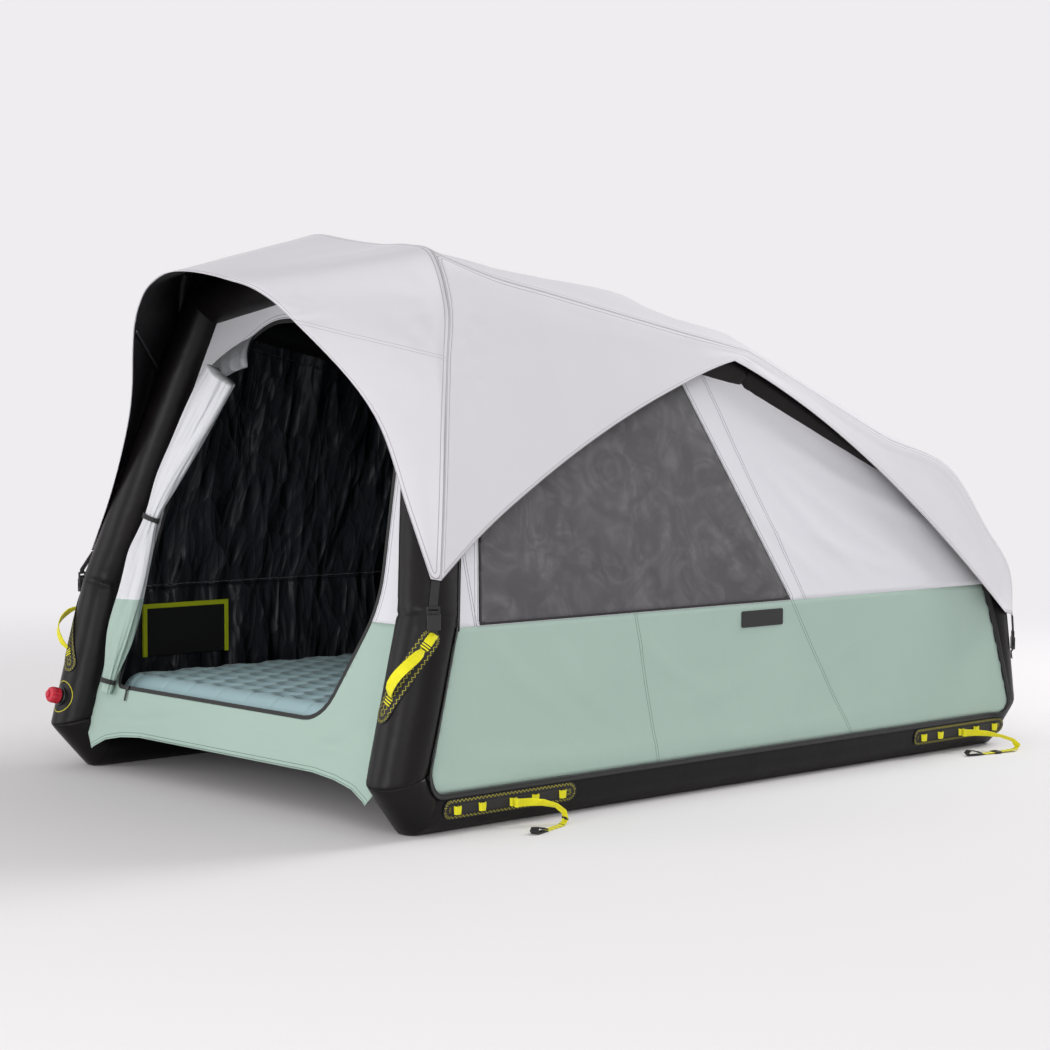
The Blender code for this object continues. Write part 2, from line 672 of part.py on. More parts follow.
def build_tag():
    """A bare tag, sewn into the right side's seam."""
    plane = placed((side_panel_x(SEAM_HEIGHT) + FABRIC / 2 + GAP + FABRIC / 2, 0, 0), (0, 1, 0), (0, 0, 1))
    top = SEAM_HEIGHT - 0.018
    corners = rectangle(behind(TAG_FRONT), behind(TAG_FRONT) + TAG_LENGTH, top - TAG_HEIGHT, top)
    flat_piece("bare_tag", [rounded(corners, [0.004] * 4, 2)], FABRIC, plane, BLACK_WEBBING)


# Rolled door

ROLL_BACK = 0.0047
ROLL_FLATNESS = 0.55
ROLL_SIDES = 12
# inset from the knee, height, half width
ROLL_STATIONS = ((0.349, 0.985, 0.046), (0.304, 0.930, 0.056), (0.244, 0.840, 0.052),
                 (0.194, 0.730, 0.044), (0.166, 0.636, 0.028), (0.150, 0.550, 0.050),
                 (0.137, 0.450, 0.058), (0.133, 0.340, 0.050), (0.125, 0.225, 0.024),
                 (0.123, 0.196, 0.020))
UPPER_TIE = 4
LOWER_TIE = 8
TIE_WIDTH = 0.012
TIE_THICKNESS = 0.0012
TIE_SLACK = 0.0024


def roll_ring(station, direction, extra=0.0, shift=0.0):
    """An oval section of the rolled door, flat side to the wall."""
    inset, z, radius = station
    x = inset - KNEE_HALF_WIDTH
    depth = radius * ROLL_FLATNESS
    normal = FRONT_WALL.to_3x3() @ Vector((0, 0, 1))
    centre = Vector((x, front_wall_y(z), z)) + normal * (ROLL_BACK + depth) + direction * shift
    across = direction.cross(normal).normalized()
    ring = []
    for step in range(ROLL_SIDES):
        angle = math.tau * step / ROLL_SIDES
        wide, deep = math.cos(angle) * (radius + extra), math.sin(angle) * (depth + extra)
        ring.append(centre + across * wide + normal * deep)
    return ring


def roll_direction(index):
    low = ROLL_STATIONS[min(index + 1, len(ROLL_STATIONS) - 1)]
    high = ROLL_STATIONS[max(index - 1, 0)]
    step = Vector((high[0] - low[0], front_wall_y(high[1]) - front_wall_y(low[1]), high[1] - low[1]))
    return step.normalized()


def build_rolled_door():
    rings = [roll_ring(station, roll_direction(index)) for index, station in enumerate(ROLL_STATIONS)]
    loft("rolled_door", rings, GREEN)
    for name, index in (("door_tie_upper", UPPER_TIE), ("door_tie_lower", LOWER_TIE)):
        direction = roll_direction(index)
        station = ROLL_STATIONS[index]
        inner, outer, half = TIE_SLACK, TIE_SLACK + TIE_THICKNESS, TIE_WIDTH / 2
        profile = [(inner, -half), (outer, -half), (outer, half), (inner, half)]
        rings = [roll_ring(station, direction, extra, shift) for extra, shift in profile]
        loft(name, rings, BLACK_WEBBING, closed=True)


SLIDER_X = DOOR_MARGIN_LEFT + 0.056 - KNEE_HALF_WIDTH
SLIDER_SIZE = (0.012, 0.010, 0.005)
PULL_SIZE = (0.007, 0.028, 0.0014)


def slider_plane():
    """The middle of the zip on the sill, where the slider rests."""
    up = (SILL_HEIGHT + ZIP_WIDTH / 2) * math.hypot(1, FRONT_LEAN)
    return FRONT_WALL @ Matrix.Translation((SLIDER_X, up, 0))


def pull_hinge():
    """The middle of the tab's top edge, in the slider's bail."""
    front = FABRIC + GAP + SLIDER_SIZE[2] - 0.0004
    return slider_plane() @ Vector((0, -SLIDER_SIZE[1] / 2 - 0.0008, front - PULL_SIZE[2] / 2))


def build_zip_slider():
    """A slider on the sill's zip and the tab that hangs from it."""
    plane = slider_plane()
    length, height, depth = SLIDER_SIZE
    back = FABRIC + GAP
    body = box("zip_slider", (-length / 2, -height / 2, back), (length / 2, height / 2, back + depth), plane,
               PLASTIC, bevel=0.001)
    bar = box("bar", (-length / 2, -height / 2 - 0.003, back + depth - 0.002),
              (-length / 2 + 0.0018, -height / 2 + 0.003, back + depth - 0.0002), plane)
    other = box("bar", (length / 2 - 0.0018, -height / 2 - 0.003, back + depth - 0.002),
                (length / 2, -height / 2 + 0.003, back + depth - 0.0002), plane)
    joined(body, bar, other)
    width, drop, thickness = PULL_SIZE
    top = -height / 2 - 0.0008
    front = back + depth - 0.0004
    box("zip_pull", (-width / 2, top - drop, front - thickness), (width / 2, top, front), plane,
        BLACK_WEBBING, bevel=0.0004)


# Fly sheet

SIDE_COLUMNS = 5
HEM_FRONT = 0.070
HEM_FRONT_HEIGHT = 0.571
HEM_FRONT_BOW = 0.0475
HEM_APEX_BACK = 1.108
HEM_REAR = 1.990
HEM_REAR_HEIGHT = 0.371
HEM_REAR_BOW = 0.079
HEM_OFFSET = 0.086
FOLD_REACH = 0.086
FOLD_ANGLE = -19.5
REAR_FOLD_ANGLE = 20.0
SHOULDER_FOLD = Vector((0.049, -0.048, 0.073))
HEADER_FOLDS = ((0.12, 0.036, 0.016), (0.40, 0.020, 0.005), (0.70, 0.020, 0.002), (1.0, 0.020, 0.001))
SHEET_RADIUS = TUBE_RADIUS + FLY_CLEARANCE


def hem_point(back):
    """The side hem rises from the front corner to its apex and falls to the rear corner."""
    if back < HEM_APEX_BACK:
        share = (back - HEM_FRONT) / (HEM_APEX_BACK - HEM_FRONT)
        low, high, bow = HEM_FRONT_HEIGHT, HEM_APEX_HEIGHT, HEM_FRONT_BOW
    else:
        share = (back - HEM_APEX_BACK) / (HEM_REAR - HEM_APEX_BACK)
        low, high, bow = HEM_APEX_HEIGHT, HEM_REAR_HEIGHT, HEM_REAR_BOW
    z = low + (high - low) * share + 4 * bow * share * (1 - share)
    return Vector((leaning_x(z) + HEM_OFFSET, behind(back), z))


def around(centre, direction, angle, radius):
    """A point round a tube, from level and outward at 0 degrees to its top at 90."""
    outward = direction.cross(Vector((0, 0, 1))).normalized()
    if outward.x < 0:
        outward.negate()
    top = outward.cross(direction).normalized()
    if top.z < 0:
        top.negate()
    turn = math.radians(angle)
    return centre + (outward * math.cos(turn) + top * math.sin(turn)) * radius


def spread(start, end, count):
    """Points between two ends, without the first."""
    return [start.lerp(end, step / count) for step in range(1, count + 1)]


def visor_front():
    """Half of the visor's front hem, up and over to the middle, as shares of the legs' half width."""
    reach = VISOR_REACH
    top = VISOR_HEIGHT
    points = [(1.1035, 0.038, FLY_CORNER_HEIGHT + 0.004), (1.0306, 0.044, 0.700), (0.9416, 0.037, 0.899),
              (0.6745, -0.050, 1.107), (0.5853, -0.075, 1.155), (0.4857, -0.096, 1.186),
              (0.3683, -0.117, 1.204), (0.2476, -0.132, 1.218), (0.1244, 0.004 - reach, top - 0.003),
              (0.0, -reach, top)]
    return [Vector((share * leaning_x(z), behind(back), z)) for share, back, z in points]


def leg_fold():
    """Half of the fold over the front arch: up the leg, over the shoulder and along the header."""
    points = []
    for z in (FLY_CORNER_HEIGHT, 0.700, 0.860, 1.020, 1.147):
        centre = at_height(KNEE_A, SHOULDER_A, z)
        turn = math.radians(FOLD_ANGLE)
        reach = FOLD_REACH - (0.007 if z == FLY_CORNER_HEIGHT else 0.0)
        points.append(centre + Vector((math.cos(turn), math.sin(turn), 0)) * reach)
    points.append(SHOULDER_A + SHOULDER_FOLD)
    for share, forward, rise in HEADER_FOLDS:
        points.append(SHOULDER_A.lerp(FRONT_PEAK, share) + Vector((0, -forward, SHEET_RADIUS + rise)))
    return points


def roof_row(hem_back, seam_back, start, end, ridge):
    """Half of a row that crosses a rail: hem, side, round the rail, roof and ridge."""
    centre = at_y(start, end, behind(seam_back))
    direction = (end - start).normalized()
    hem = hem_point(hem_back)
    low = around(centre, direction, 8, SHEET_RADIUS)
    if hem.z > low.z - 0.05:
        low = hem.lerp(around(centre, direction, 40, SHEET_RADIUS), 0.6)
    seam = around(centre, direction, 40, SHEET_RADIUS)
    high = around(centre, direction, 72, SHEET_RADIUS)
    side = spread(hem, low, SIDE_COLUMNS - 1)
    return [hem] + side + [seam, high] + spread(high, ridge, 3)


def rear_row(hem_back, centre, normal, corner, header):
    """Half of a row on the rear wall: hem, round the rear leg's corner and across to the middle."""
    hem = hem_point(hem_back)
    out = normal * (SHEET_RADIUS + 0.007)
    turn = math.radians(REAR_FOLD_ANGLE)
    fold = centre + out * math.cos(turn) + Vector((out.length * math.sin(turn), 0, 0))
    across = [centre.lerp(header, share) + out for share in (0.35, 0.68, 1.0)]
    return [hem] + spread(hem, centre + corner, SIDE_COLUMNS) + [fold] + across


def pushed_out(point):
    """A point moved straight out of the tubes, where it lies too close to one."""
    lines = list(zip(SIDE_LOOP[1:-1], SIDE_LOOP[2:])) + [(SHOULDER_A, FRONT_PEAK), (SHOULDER_M, MID_PEAK),
                                                        (SHOULDER_B, REAR_PEAK)]
    for start, end in lines:
        step = end - start
        share = min(1.0, max(0.0, (point - start).dot(step) / step.length_squared))
        centre = start + step * share
        away = point - centre
        if away.length < SHEET_RADIUS:
            point = centre + away.normalized() * SHEET_RADIUS
    return point


def fly_rows():
    """The whole fly as rows of points from the right hem over the ridge to the left hem."""
    front, fold = visor_front(), leg_fold()
    halves = [front]
    for share in (0.36, 0.70):
        halves.append([a.lerp(b, share) for a, b in zip(front, fold)])
    halves.append(fold)
    front_ridge = fold[-1]
    mid_ridge = MID_PEAK + Vector((0, 0.022, SHEET_RADIUS - 0.002))
    rear_ridge = REAR_PEAK + Vector((0, 0.049, SHEET_RADIUS - 0.018))
    for hem_back, seam_back in ((0.180, 0.360), (0.380, 0.520), (0.600, 0.700), (0.850, 0.920)):
        ridge = at_y(front_ridge, mid_ridge, behind(seam_back))
        halves.append(roof_row(hem_back, seam_back, SHOULDER_A, SHOULDER_M, ridge))
    halves.append(roof_row(HEM_APEX_BACK, MID_SHOULDER_BACK, SHOULDER_A, SHOULDER_M, mid_ridge))
    for column, share in ((7, 0.36), (8, 0.68)):
        halves[-1][column] = SHOULDER_M.lerp(MID_PEAK, share) + Vector((0, 0.022, SHEET_RADIUS - 0.001))
    for hem_back, seam_back in ((1.330, 1.400), (1.560, 1.640)):
        ridge = at_y(mid_ridge, rear_ridge, behind(seam_back))
        halves.append(roof_row(hem_back, seam_back, SHOULDER_M, SHOULDER_B, ridge))
    shoulder_normal = Vector((0, 0.68, 0.73))
    wall_normal = Vector((0, 1, -REAR_UPPER_LEAN)).normalized()
    foot_normal = Vector((0, 1, -REAR_LEAN)).normalized()
    knee_normal = (wall_normal + foot_normal).normalized()
    between = SHOULDER_B.lerp(KNEE_B, 0.5)
    hem_centre = at_height(KNEE_B, ANKLE_B, FLY_REAR_HEM)
    halves.append(rear_row(1.750, SHOULDER_B, shoulder_normal, Vector((0.052, 0.020, 0.063)), REAR_PEAK))
    rows = ((1.870, between, wall_normal, Vector((0.065, 0.044, 0.020))),
            (1.945, KNEE_B, knee_normal, Vector((0.062, 0.053, 0.008))),
            (HEM_REAR, hem_centre, foot_normal, Vector((0.057, 0.056, 0.0))))
    for hem_back, centre, normal, corner in rows:
        halves.append(rear_row(hem_back, centre, normal, corner, Vector((0, centre.y, centre.z))))
    halves = [[pushed_out(point) for point in half] for half in halves]
    for half in halves:
        half[-1].x = 0.0
    return [half + [flip(point) for point in reversed(half[:-1])] for half in halves]


def grid_normals(rows):
    """An outward normal for each point of a grid, averaged over the faces round it."""
    normals = [[Vector((0, 0, 0)) for _ in row] for row in rows]
    for i in range(len(rows) - 1):
        for j in range(len(rows[0]) - 1):
            face = (rows[i + 1][j + 1] - rows[i][j]).cross(rows[i + 1][j] - rows[i][j + 1])
            for a, b in ((i, j), (i + 1, j), (i, j + 1), (i + 1, j + 1)):
                normals[a][b] += face.normalized()
    return [[normal.normalized() for normal in row] for row in normals]


def fly_panel(name, rows, normals, row_range, column_range):
    """One sewn panel of the fly, drawn back a little from the seams that it shares."""
    first, last = row_range
    left, right = column_range
    count_rows, count_columns = len(rows), len(rows[0])
    inner = [[point.copy() for point in row] for row in rows]
    if first > 0:
        for j in range(count_columns):
            inner[first][j] += (rows[first + 1][j] - rows[first][j]).normalized() * FLY_SEAM / 2
    if last < count_rows - 1:
        for j in range(count_columns):
            inner[last][j] += (rows[last - 1][j] - rows[last][j]).normalized() * FLY_SEAM / 2
    for i in range(first, last + 1):
        if left > 0:
            inner[i][left] += (rows[i][left + 1] - rows[i][left]).normalized() * FLY_SEAM / 2
        if right < count_columns - 1:
            inner[i][right] += (rows[i][right - 1] - rows[i][right]).normalized() * FLY_SEAM / 2
    below = [row[left:right + 1] for row in inner[first:last + 1]]
    above = [[point + normals[first + a][left + b] * FLY_THICKNESS for b, point in enumerate(row)]
             for a, row in enumerate(below)]
    return slab(name, above, below, FLY)


def build_fly():
    rows = fly_rows()
    normals = grid_normals(rows)
    last, seam, far = len(rows) - 1, SIDE_COLUMNS, len(rows[0]) - 1 - SIDE_COLUMNS
    end = len(rows[0]) - 1
    fly_panel("fly_visor", rows, normals, (0, 3), (0, end))
    fly_panel("fly_side_right", rows, normals, (3, last), (0, seam))
    fly_panel("fly_side_left", rows, normals, (3, last), (far, end))
    fly_panel("fly_roof", rows, normals, (3, last), (seam, far))
    under = BATTEN_DIAMETER / 2 + 0.0008
    start, end = (rows[i][3] - normals[i][3] * under for i in (0, 3))
    rod = [start.lerp(end, 0.03), start.lerp(end, 0.97)]
    both_sides(round_rod("visor_batten", rod, BATTEN_DIAMETER / 2, GLASS_FIBRE))
    return rows


def round_rod(name, points, radius, finish, sides=10):
    along = (points[1] - points[0]).normalized()
    side = along.orthogonal().normalized()
    spokes = [Matrix.Rotation(math.tau * k / sides, 3, along) @ side * radius for k in range(sides)]
    return loft(name, [[point + spoke for spoke in spokes] for point in points], finish)


# Patches, webbing and buckles


def leg_surface(low, high, z, angle, radius):
    """A point round a leg at height z; angle is a compass turn from +X, seen from above."""
    centre = at_height(low, high, z)
    along = (high - low).normalized()
    turn = math.radians(angle)
    spoke = Vector((math.cos(turn), math.sin(turn), 0))
    spoke = (spoke - along * spoke.dot(along)).normalized()
    return centre + spoke * radius, spoke


def base_surface(y, angle, radius):
    """A point round the base tube; angle 0 is level and outward."""
    turn = math.radians(angle)
    spoke = Vector((math.cos(turn), 0, math.sin(turn)))
    return Vector((BASE_HALF_WIDTH, y, BASE_HEIGHT)) + spoke * radius, spoke


PATCH_OUTER = TUBE_RADIUS + PATCH_THICKNESS
PATCH_ROOT = TUBE_RADIUS - 0.003


def patch(name, surface, length, width, rows=9, columns=4):
    """A long patch with round ends, bent round a tube; surface(s, v, radius) gives its points."""
    top, bottom = [], []
    for i in range(rows + 1):
        share = 0.5 - 0.5 * math.cos(math.pi * i / rows)
        s = length * (share - 0.5)
        overrun = max(0.0, abs(s) - (length - width) / 2) / (width / 2)
        half = width / 2 * max(0.35, math.sqrt(max(0.0, 1 - overrun ** 2)))
        line = [half * (2 * j / columns - 1) for j in range(columns + 1)]
        top.append([surface(s, v, PATCH_OUTER) for v in line])
        bottom.append([surface(s, v, PATCH_ROOT) for v in line])
    return slab(name, top, bottom, None)


def anchor_surface(middle):
    def surface(s, v, radius):
        return base_surface(behind(middle) + s, ANCHOR_ANGLE + math.degrees(v / TUBE_RADIUS), radius)[0]
    return surface


def handle_surface(s, v, radius):
    """The handle's patch winds round the front leg as it comes down."""
    high_z, low_z = HANDLE_PATCH_HEIGHTS
    high_a, low_a = HANDLE_ANGLES
    rise, run = high_z - low_z, math.radians(high_a - low_a) * TUBE_RADIUS
    length = math.hypot(rise, run)
    z = (high_z + low_z) / 2 - s * rise / length + v * run / length
    turn = (high_a + low_a) / 2 - math.degrees((s * run + v * rise) / length / TUBE_RADIUS)
    return leg_surface(ANKLE_A, KNEE_A, z, turn, radius)[0]


def handle_length():
    high_z, low_z = HANDLE_PATCH_HEIGHTS
    return math.hypot(high_z - low_z, math.radians(HANDLE_ANGLES[0] - HANDLE_ANGLES[1]) * TUBE_RADIUS)


def rear_patch_surface(s, v, radius):
    z = REAR_BUCKLE_HEIGHT - SOCKET_LENGTH - 0.022 + s
    return leg_surface(ANKLE_B, KNEE_B, z, REAR_BUCKLE_ANGLE + math.degrees(v / TUBE_RADIUS), radius)[0]


def anchor_patches():
    middles = [start + ANCHOR_PATCH_LENGTH / 2 for start in (ANCHOR_FRONT, ANCHOR_REAR)]
    return [patch("patch", anchor_surface(middle), ANCHOR_PATCH_LENGTH, PATCH_WIDTH) for middle in middles]


def handle_patch():
    return patch("patch", handle_surface, handle_length(), PATCH_WIDTH)


def rear_buckle_patch():
    return patch("patch", rear_patch_surface, 0.048, 0.034, rows=6)


def loop_centre(start, share):
    return behind(start) + ANCHOR_PATCH_LENGTH * share


def anchor_webbing(name, start):
    """One run of webbing along its patch, raised into five arches that are open up and down."""
    base = PATCH_OUTER + GAP + WEBBING_THICKNESS / 2
    rings = []
    for share in LOOP_PLACES:
        y = loop_centre(start, share)
        for step, height in ((-0.5, 0), (-0.36, 0), (-0.24, 1), (0.24, 1), (0.36, 0), (0.5, 0)):
            point, spoke = base_surface(y + LOOP_LENGTH * step, ANCHOR_ANGLE, base + LOOP_HEIGHT * height)
            up = Vector((-spoke.z, 0, spoke.x)) * WEBBING / 2
            thick = spoke * WEBBING_THICKNESS / 2
            rings.append([point - up - thick, point + up - thick, point + up + thick, point - up + thick])
    both_sides(loft(name, rings, YELLOW))


def buckle_frame(low, high, z, angle):
    """A plane at a socket's lower end, standing upright against a leg."""
    point, spoke = leg_surface(low, high, z, angle, PATCH_OUTER + 0.0012)
    turn = math.radians(angle)
    outward = Vector((math.cos(turn), math.sin(turn), 0))
    return placed(point, (-outward.y, outward.x, 0), (0, 0, 1))


def buckle_frames():
    return (buckle_frame(ANKLE_A, KNEE_A, FRONT_BUCKLE_HEIGHT - SOCKET_LENGTH, FRONT_BUCKLE_ANGLE),
            buckle_frame(ANKLE_B, KNEE_B, REAR_BUCKLE_HEIGHT - SOCKET_LENGTH, REAR_BUCKLE_ANGLE))


def socket(name, plane, tail):
    """The open half of a side-release buckle, with a window in each side and its sewn webbing."""
    half, length, depth, wall = BUCKLE_WIDTH / 2, SOCKET_LENGTH, SOCKET_THICKNESS, BUCKLE_WALL
    shell = box(name, (-half, 0, 0), (half, length, depth), plane, PLASTIC, bevel=0.0012)
    hollow = box("hollow", (-half + wall, 0.008, wall), (half - wall, length + 0.005, depth - wall), plane,
                 collection=CUTTERS)
    sill = wall + 0.0008
    windows = box("windows", (-half - 0.005, 0.012, sill), (half + 0.005, 0.023, depth - sill), plane,
                  collection=CUTTERS)
    return joined(cut(shell, hollow, windows), tail)


def plug(name, plane, corner):
    """The sprung half of a buckle, with two barbed arms and a slotted tail, on its corner's strap."""
    reach = BUCKLE_WIDTH / 2 - BUCKLE_WALL - GAP
    tail = BUCKLE_WIDTH / 2 - 0.0005
    shoulder = SOCKET_LENGTH + 0.0005
    root = shoulder + 0.0012
    half = [(0.0015, 0.014), (0.0015, root - 0.0008), (reach - 0.0045, root), (reach - 0.0045, 0.018),
            (reach - 0.0038, 0.0125), (reach, 0.0150), (reach, 0.0215), (reach - 0.0017, 0.0225),
            (reach - 0.0017, shoulder), (tail, shoulder), (tail, shoulder + 0.016)]
    outline = half + [(-u, v) for u, v in reversed(half)]
    slot = rectangle(-tail + 0.003, tail - 0.003, shoulder + 0.007, shoulder + 0.011)
    middle = plane @ Matrix.Translation((0, 0, SOCKET_THICKNESS / 2))
    body = flat_piece(name, [outline, slot], PLUG_THICKNESS, middle, BLACK_WEBBING)
    start = middle @ Vector((0, shoulder + 0.0135, 0))
    lift = middle @ Vector((0, shoulder + 0.022, 0))
    across = plane.to_3x3() @ Vector((1, 0, 0))
    strap = ribbon("strap", [start, lift, lift.lerp(corner, 0.5), corner], [across] * 4, WEBBING,
                   thickness=2 * WEBBING_THICKNESS)
    return joined(body, strap)


def socket_tail(plane, low, high, z, angle, length):
    """The yellow webbing that holds a socket down on its patch."""
    radius = PATCH_OUTER + GAP + WEBBING_THICKNESS / 2
    sewn = [leg_surface(low, high, z - 0.006 - length * k / 3, angle, radius)[0] for k in range(3)]
    path = [plane @ Vector((0, up, SOCKET_THICKNESS / 2)) for up in (0.004, -0.001)]
    across = plane.to_3x3() @ Vector((1, 0, 0))
    return ribbon("tail", path + sewn, [across] * 5, WEBBING)


def build_buckles(rows):
    front, rear = buckle_frames()
    front_foot = FRONT_BUCKLE_HEIGHT - SOCKET_LENGTH
    rear_foot = REAR_BUCKLE_HEIGHT - SOCKET_LENGTH
    front_tail = socket_tail(front, ANKLE_A, KNEE_A, front_foot, FRONT_BUCKLE_ANGLE, 0.026)
    rear_tail = socket_tail(rear, ANKLE_B, KNEE_B, rear_foot, REAR_BUCKLE_ANGLE, 0.030)
    both_sides(socket("front_socket", front, front_tail))
    both_sides(socket("rear_socket", rear, rear_tail))
    drop = Vector((0, 0, GAP + 0.0005))
    both_sides(plug("front_plug", front, (rows[0][0] + rows[3][0]) / 2 - 3 * drop))
    both_sides(plug("rear_plug", rear, rows[-1][SIDE_COLUMNS] - drop))


def build_anchor_webbing():
    anchor_webbing("front_anchor", ANCHOR_FRONT)
    anchor_webbing("rear_anchor", ANCHOR_REAR)


def handle_ends():
    """Distances along the patch, from its middle, where the handle is tacked down."""
    high_z, low_z = HANDLE_PATCH_HEIGHTS
    return [((high_z + low_z) / 2 - z) * handle_length() / (high_z - low_z) for z in HANDLE_HEIGHTS]


def handle_tacks():
    """Round ridges on the patch that the handle's ends are sewn to and swing on."""
    ends = [handle_surface(s, 0.0, PATCH_OUTER) for s in handle_ends()]
    half = (ends[1] - ends[0]).normalized() * 0.004
    return [round_rod("tack", [end - half, end + half], TACK_RADIUS, None) for end in ends]


def build_handles():
    """A bowed carrying handle over each front leg's patch, narrow where it is sewn."""
    top, bottom = handle_ends()
    seat = PATCH_OUTER + TACK_RADIUS + GAP + HANDLE_THICKNESS / 2
    count = 10
    path, widths, across = [], [], []
    for k in range(count + 1):
        share = k / count
        s = top + (bottom - top) * share
        bow = math.sin(math.pi * share) ** 0.7
        path.append(handle_surface(s, 0.0, seat + HANDLE_BOW * bow))
        across.append(handle_surface(s, 0.01, PATCH_OUTER) - handle_surface(s, -0.01, PATCH_OUTER))
        widths.append(0.010 + 0.013 * min(1.0, 2.5 * math.sin(math.pi * share)))
    both_sides(ribbon("carry_handle", path, across, widths, YELLOW, thickness=HANDLE_THICKNESS))


# Tie-down straps, given by how far each point lies from the knot that starts them

FRONT_STRAP = ((0.001, 0.000, 0.000, (0.1, 0, 1)), (0.006, 0.034, -0.001, (0.2, 0, 1)),
               (0.018, 0.062, -0.004, (0.6, 0, 0.8)), (0.033, 0.088, -0.012, (0.9, 0, 0.4)),
               (0.045, 0.100, -0.026, (1, 0, 0.1)), (0.052, 0.096, -0.043, (1, 0, 0)),
               (0.060, 0.076, -0.0507, (1, 0.1, 0)), (0.072, 0.040, -0.0532, (1, 0.3, 0)),
               (0.084, 0.004, -0.0532, (1, 0.3, 0)))
REAR_STRAP = ((0.001, 0.000, 0.000, (0.1, 0, 1)), (0.008, 0.036, -0.002, (0.3, 0, 1)),
              (0.024, 0.068, -0.006, (0.7, 0, 0.7)), (0.046, 0.098, -0.013, (0.9, 0, 0.3)),
              (0.066, 0.124, -0.024, (1, 0, 0.1)), (0.078, 0.130, -0.039, (1, 0, 0)),
              (0.081, 0.112, -0.0460, (1, 0, 0)), (0.077, 0.085, -0.0468, (1, -0.2, 0)),
              (0.057, -0.010, -0.0502, (1, -0.2, 0)))
GRIP_LENGTH = 0.050
GRIP_HEIGHT = 0.013
GRIP_OUTLINE = ((0.0, 0.0), (0.35, 0.0), (0.85, 0.0), (1.0, 0.5), (0.85, 1.0), (0.35, 0.72), (0.06, 0.26))


def knot_centre(start):
    radius = PATCH_OUTER + LOOP_HEIGHT + WEBBING_THICKNESS + KNOT_CLEARANCE + KNOT_RADIUS
    return base_surface(loop_centre(start, 0.5), ANCHOR_ANGLE, radius)[0]


def build_strap(name, start, stations):
    """A knotted strap that lies out from its loop and ends in a folded and sewn grip."""
    knot = knot_centre(start)
    path = [knot + Vector(station[:3]) for station in stations]
    lowest = WEBBING_THICKNESS / 2 + GAP
    for point in path:
        point.z = max(point.z, lowest)
    across = [station[3] for station in stations]
    strap = ribbon("tie_strap_" + name, path, across, WEBBING, YELLOW)
    work = bmesh.new()
    bmesh.ops.create_cone(work, cap_ends=True, segments=16, radius1=KNOT_RADIUS, radius2=KNOT_RADIUS,
                          depth=WEBBING, matrix=Matrix.Translation(knot))
    mesh = bpy.data.meshes.new("knot")
    work.to_mesh(mesh)
    work.free()
    strap = joined(strap, add("knot", mesh))
    both_sides(joined(strap, grip(path[-1], (path[-1] - path[-2]).normalized())))
    return path


def grip(end, direction):
    """The strap's folded end: a flat eye of webbing to pull on or hook."""
    direction = Vector((direction.x, direction.y, 0)).normalized()
    side = Vector((-direction.y, direction.x, 0))
    origin = end - direction * 0.004
    path = [origin + direction * GRIP_LENGTH * a + Vector((0, 0, GRIP_HEIGHT * b)) for a, b in GRIP_OUTLINE]
    return ribbon("grip", path, [side] * len(path), WEBBING + 0.002, thickness=WEBBING_THICKNESS + 0.0004)


ADJUSTER_SHARE = 0.42
ADJUSTER_SIZE = (0.027, 0.020, 0.0056)


def build_adjuster(path):
    """A ladder-lock frame that the rear strap's lying run passes through; returns its middle."""
    start, end = path[-2], path[-1]
    centre = start.lerp(end, ADJUSTER_SHARE)
    direction = (end - start).normalized()
    plane = placed(centre, (direction.y, -direction.x, 0), direction)
    width, length, depth = ADJUSTER_SIZE
    outer = box("strap_adjuster", (-width / 2, -length / 2, -depth / 2), (width / 2, length / 2, depth / 2),
                plane, PLASTIC, bevel=0.0008)
    clear = GAP + 0.0001
    tunnel = box("tunnel", (-WEBBING / 2 - 0.001, -length, -WEBBING_THICKNESS / 2 - clear),
                 (WEBBING / 2 + 0.001, length, WEBBING_THICKNESS / 2 + clear), plane, collection=CUTTERS)
    slots = [box("slot", (-WEBBING / 2 - 0.0005, a, 0), (WEBBING / 2 + 0.0005, a + 0.005, depth), plane,
                 collection=CUTTERS) for a in (-0.0065, 0.0015)]
    both_sides(cut(outer, tunnel, *slots))
    return centre


def build_straps():
    build_strap("front", ANCHOR_FRONT, FRONT_STRAP)
    return build_adjuster(build_strap("rear", ANCHOR_REAR, REAR_STRAP))


# Valve


def turned(name, matrix, profile, sides, ribs=0.0, finish=None):
    """A turned solid from radius and height pairs; ribs cuts every other edge back."""
    rings = []
    for radius, height in profile:
        ring = []
        for k in range(sides):
            reach = radius - (ribs if ribs and k % 2 else 0.0)
            angle = math.tau * k / sides
            ring.append(matrix @ Vector((reach * math.cos(angle), reach * math.sin(angle), height)))
        rings.append(ring)
    return loft(name, rings, finish)


def valve_plane():
    """The valve stands straight off the front of the left leg."""
    point, spoke = leg_surface(ANKLE_A, KNEE_A, VALVE_HEIGHT, -90, TUBE_RADIUS)
    point, spoke = flip(point), flip(spoke)
    return placed(point, (1, 0, 0), Vector((0, 0, 1)) - spoke * spoke.z)


def build_valve():
    plane = valve_plane()
    radius = VALVE_BASE_RADIUS
    base = turned("valve_base", plane, [(radius, -0.020), (radius, 0.0022), (radius - 0.0015, 0.0034),
                                        (0.0165, 0.0034), (0.0165, 0.0075)], 24, finish=PLASTIC)
    base = cut(base, LOOP_CUTTER_LEFT)
    start, cap = 0.0075 + GAP, VALVE_CAP_RADIUS
    end = start + VALVE_CAP_LENGTH
    profile = [(cap, start), (cap, start + VALVE_CAP_LENGTH * 0.75), (cap * 0.86, end),
               (cap * 0.45, end + 0.003), (cap * 0.42, end + 0.007)]
    turned("valve_cap", plane, profile, 32, ribs=0.0014, finish=RED)


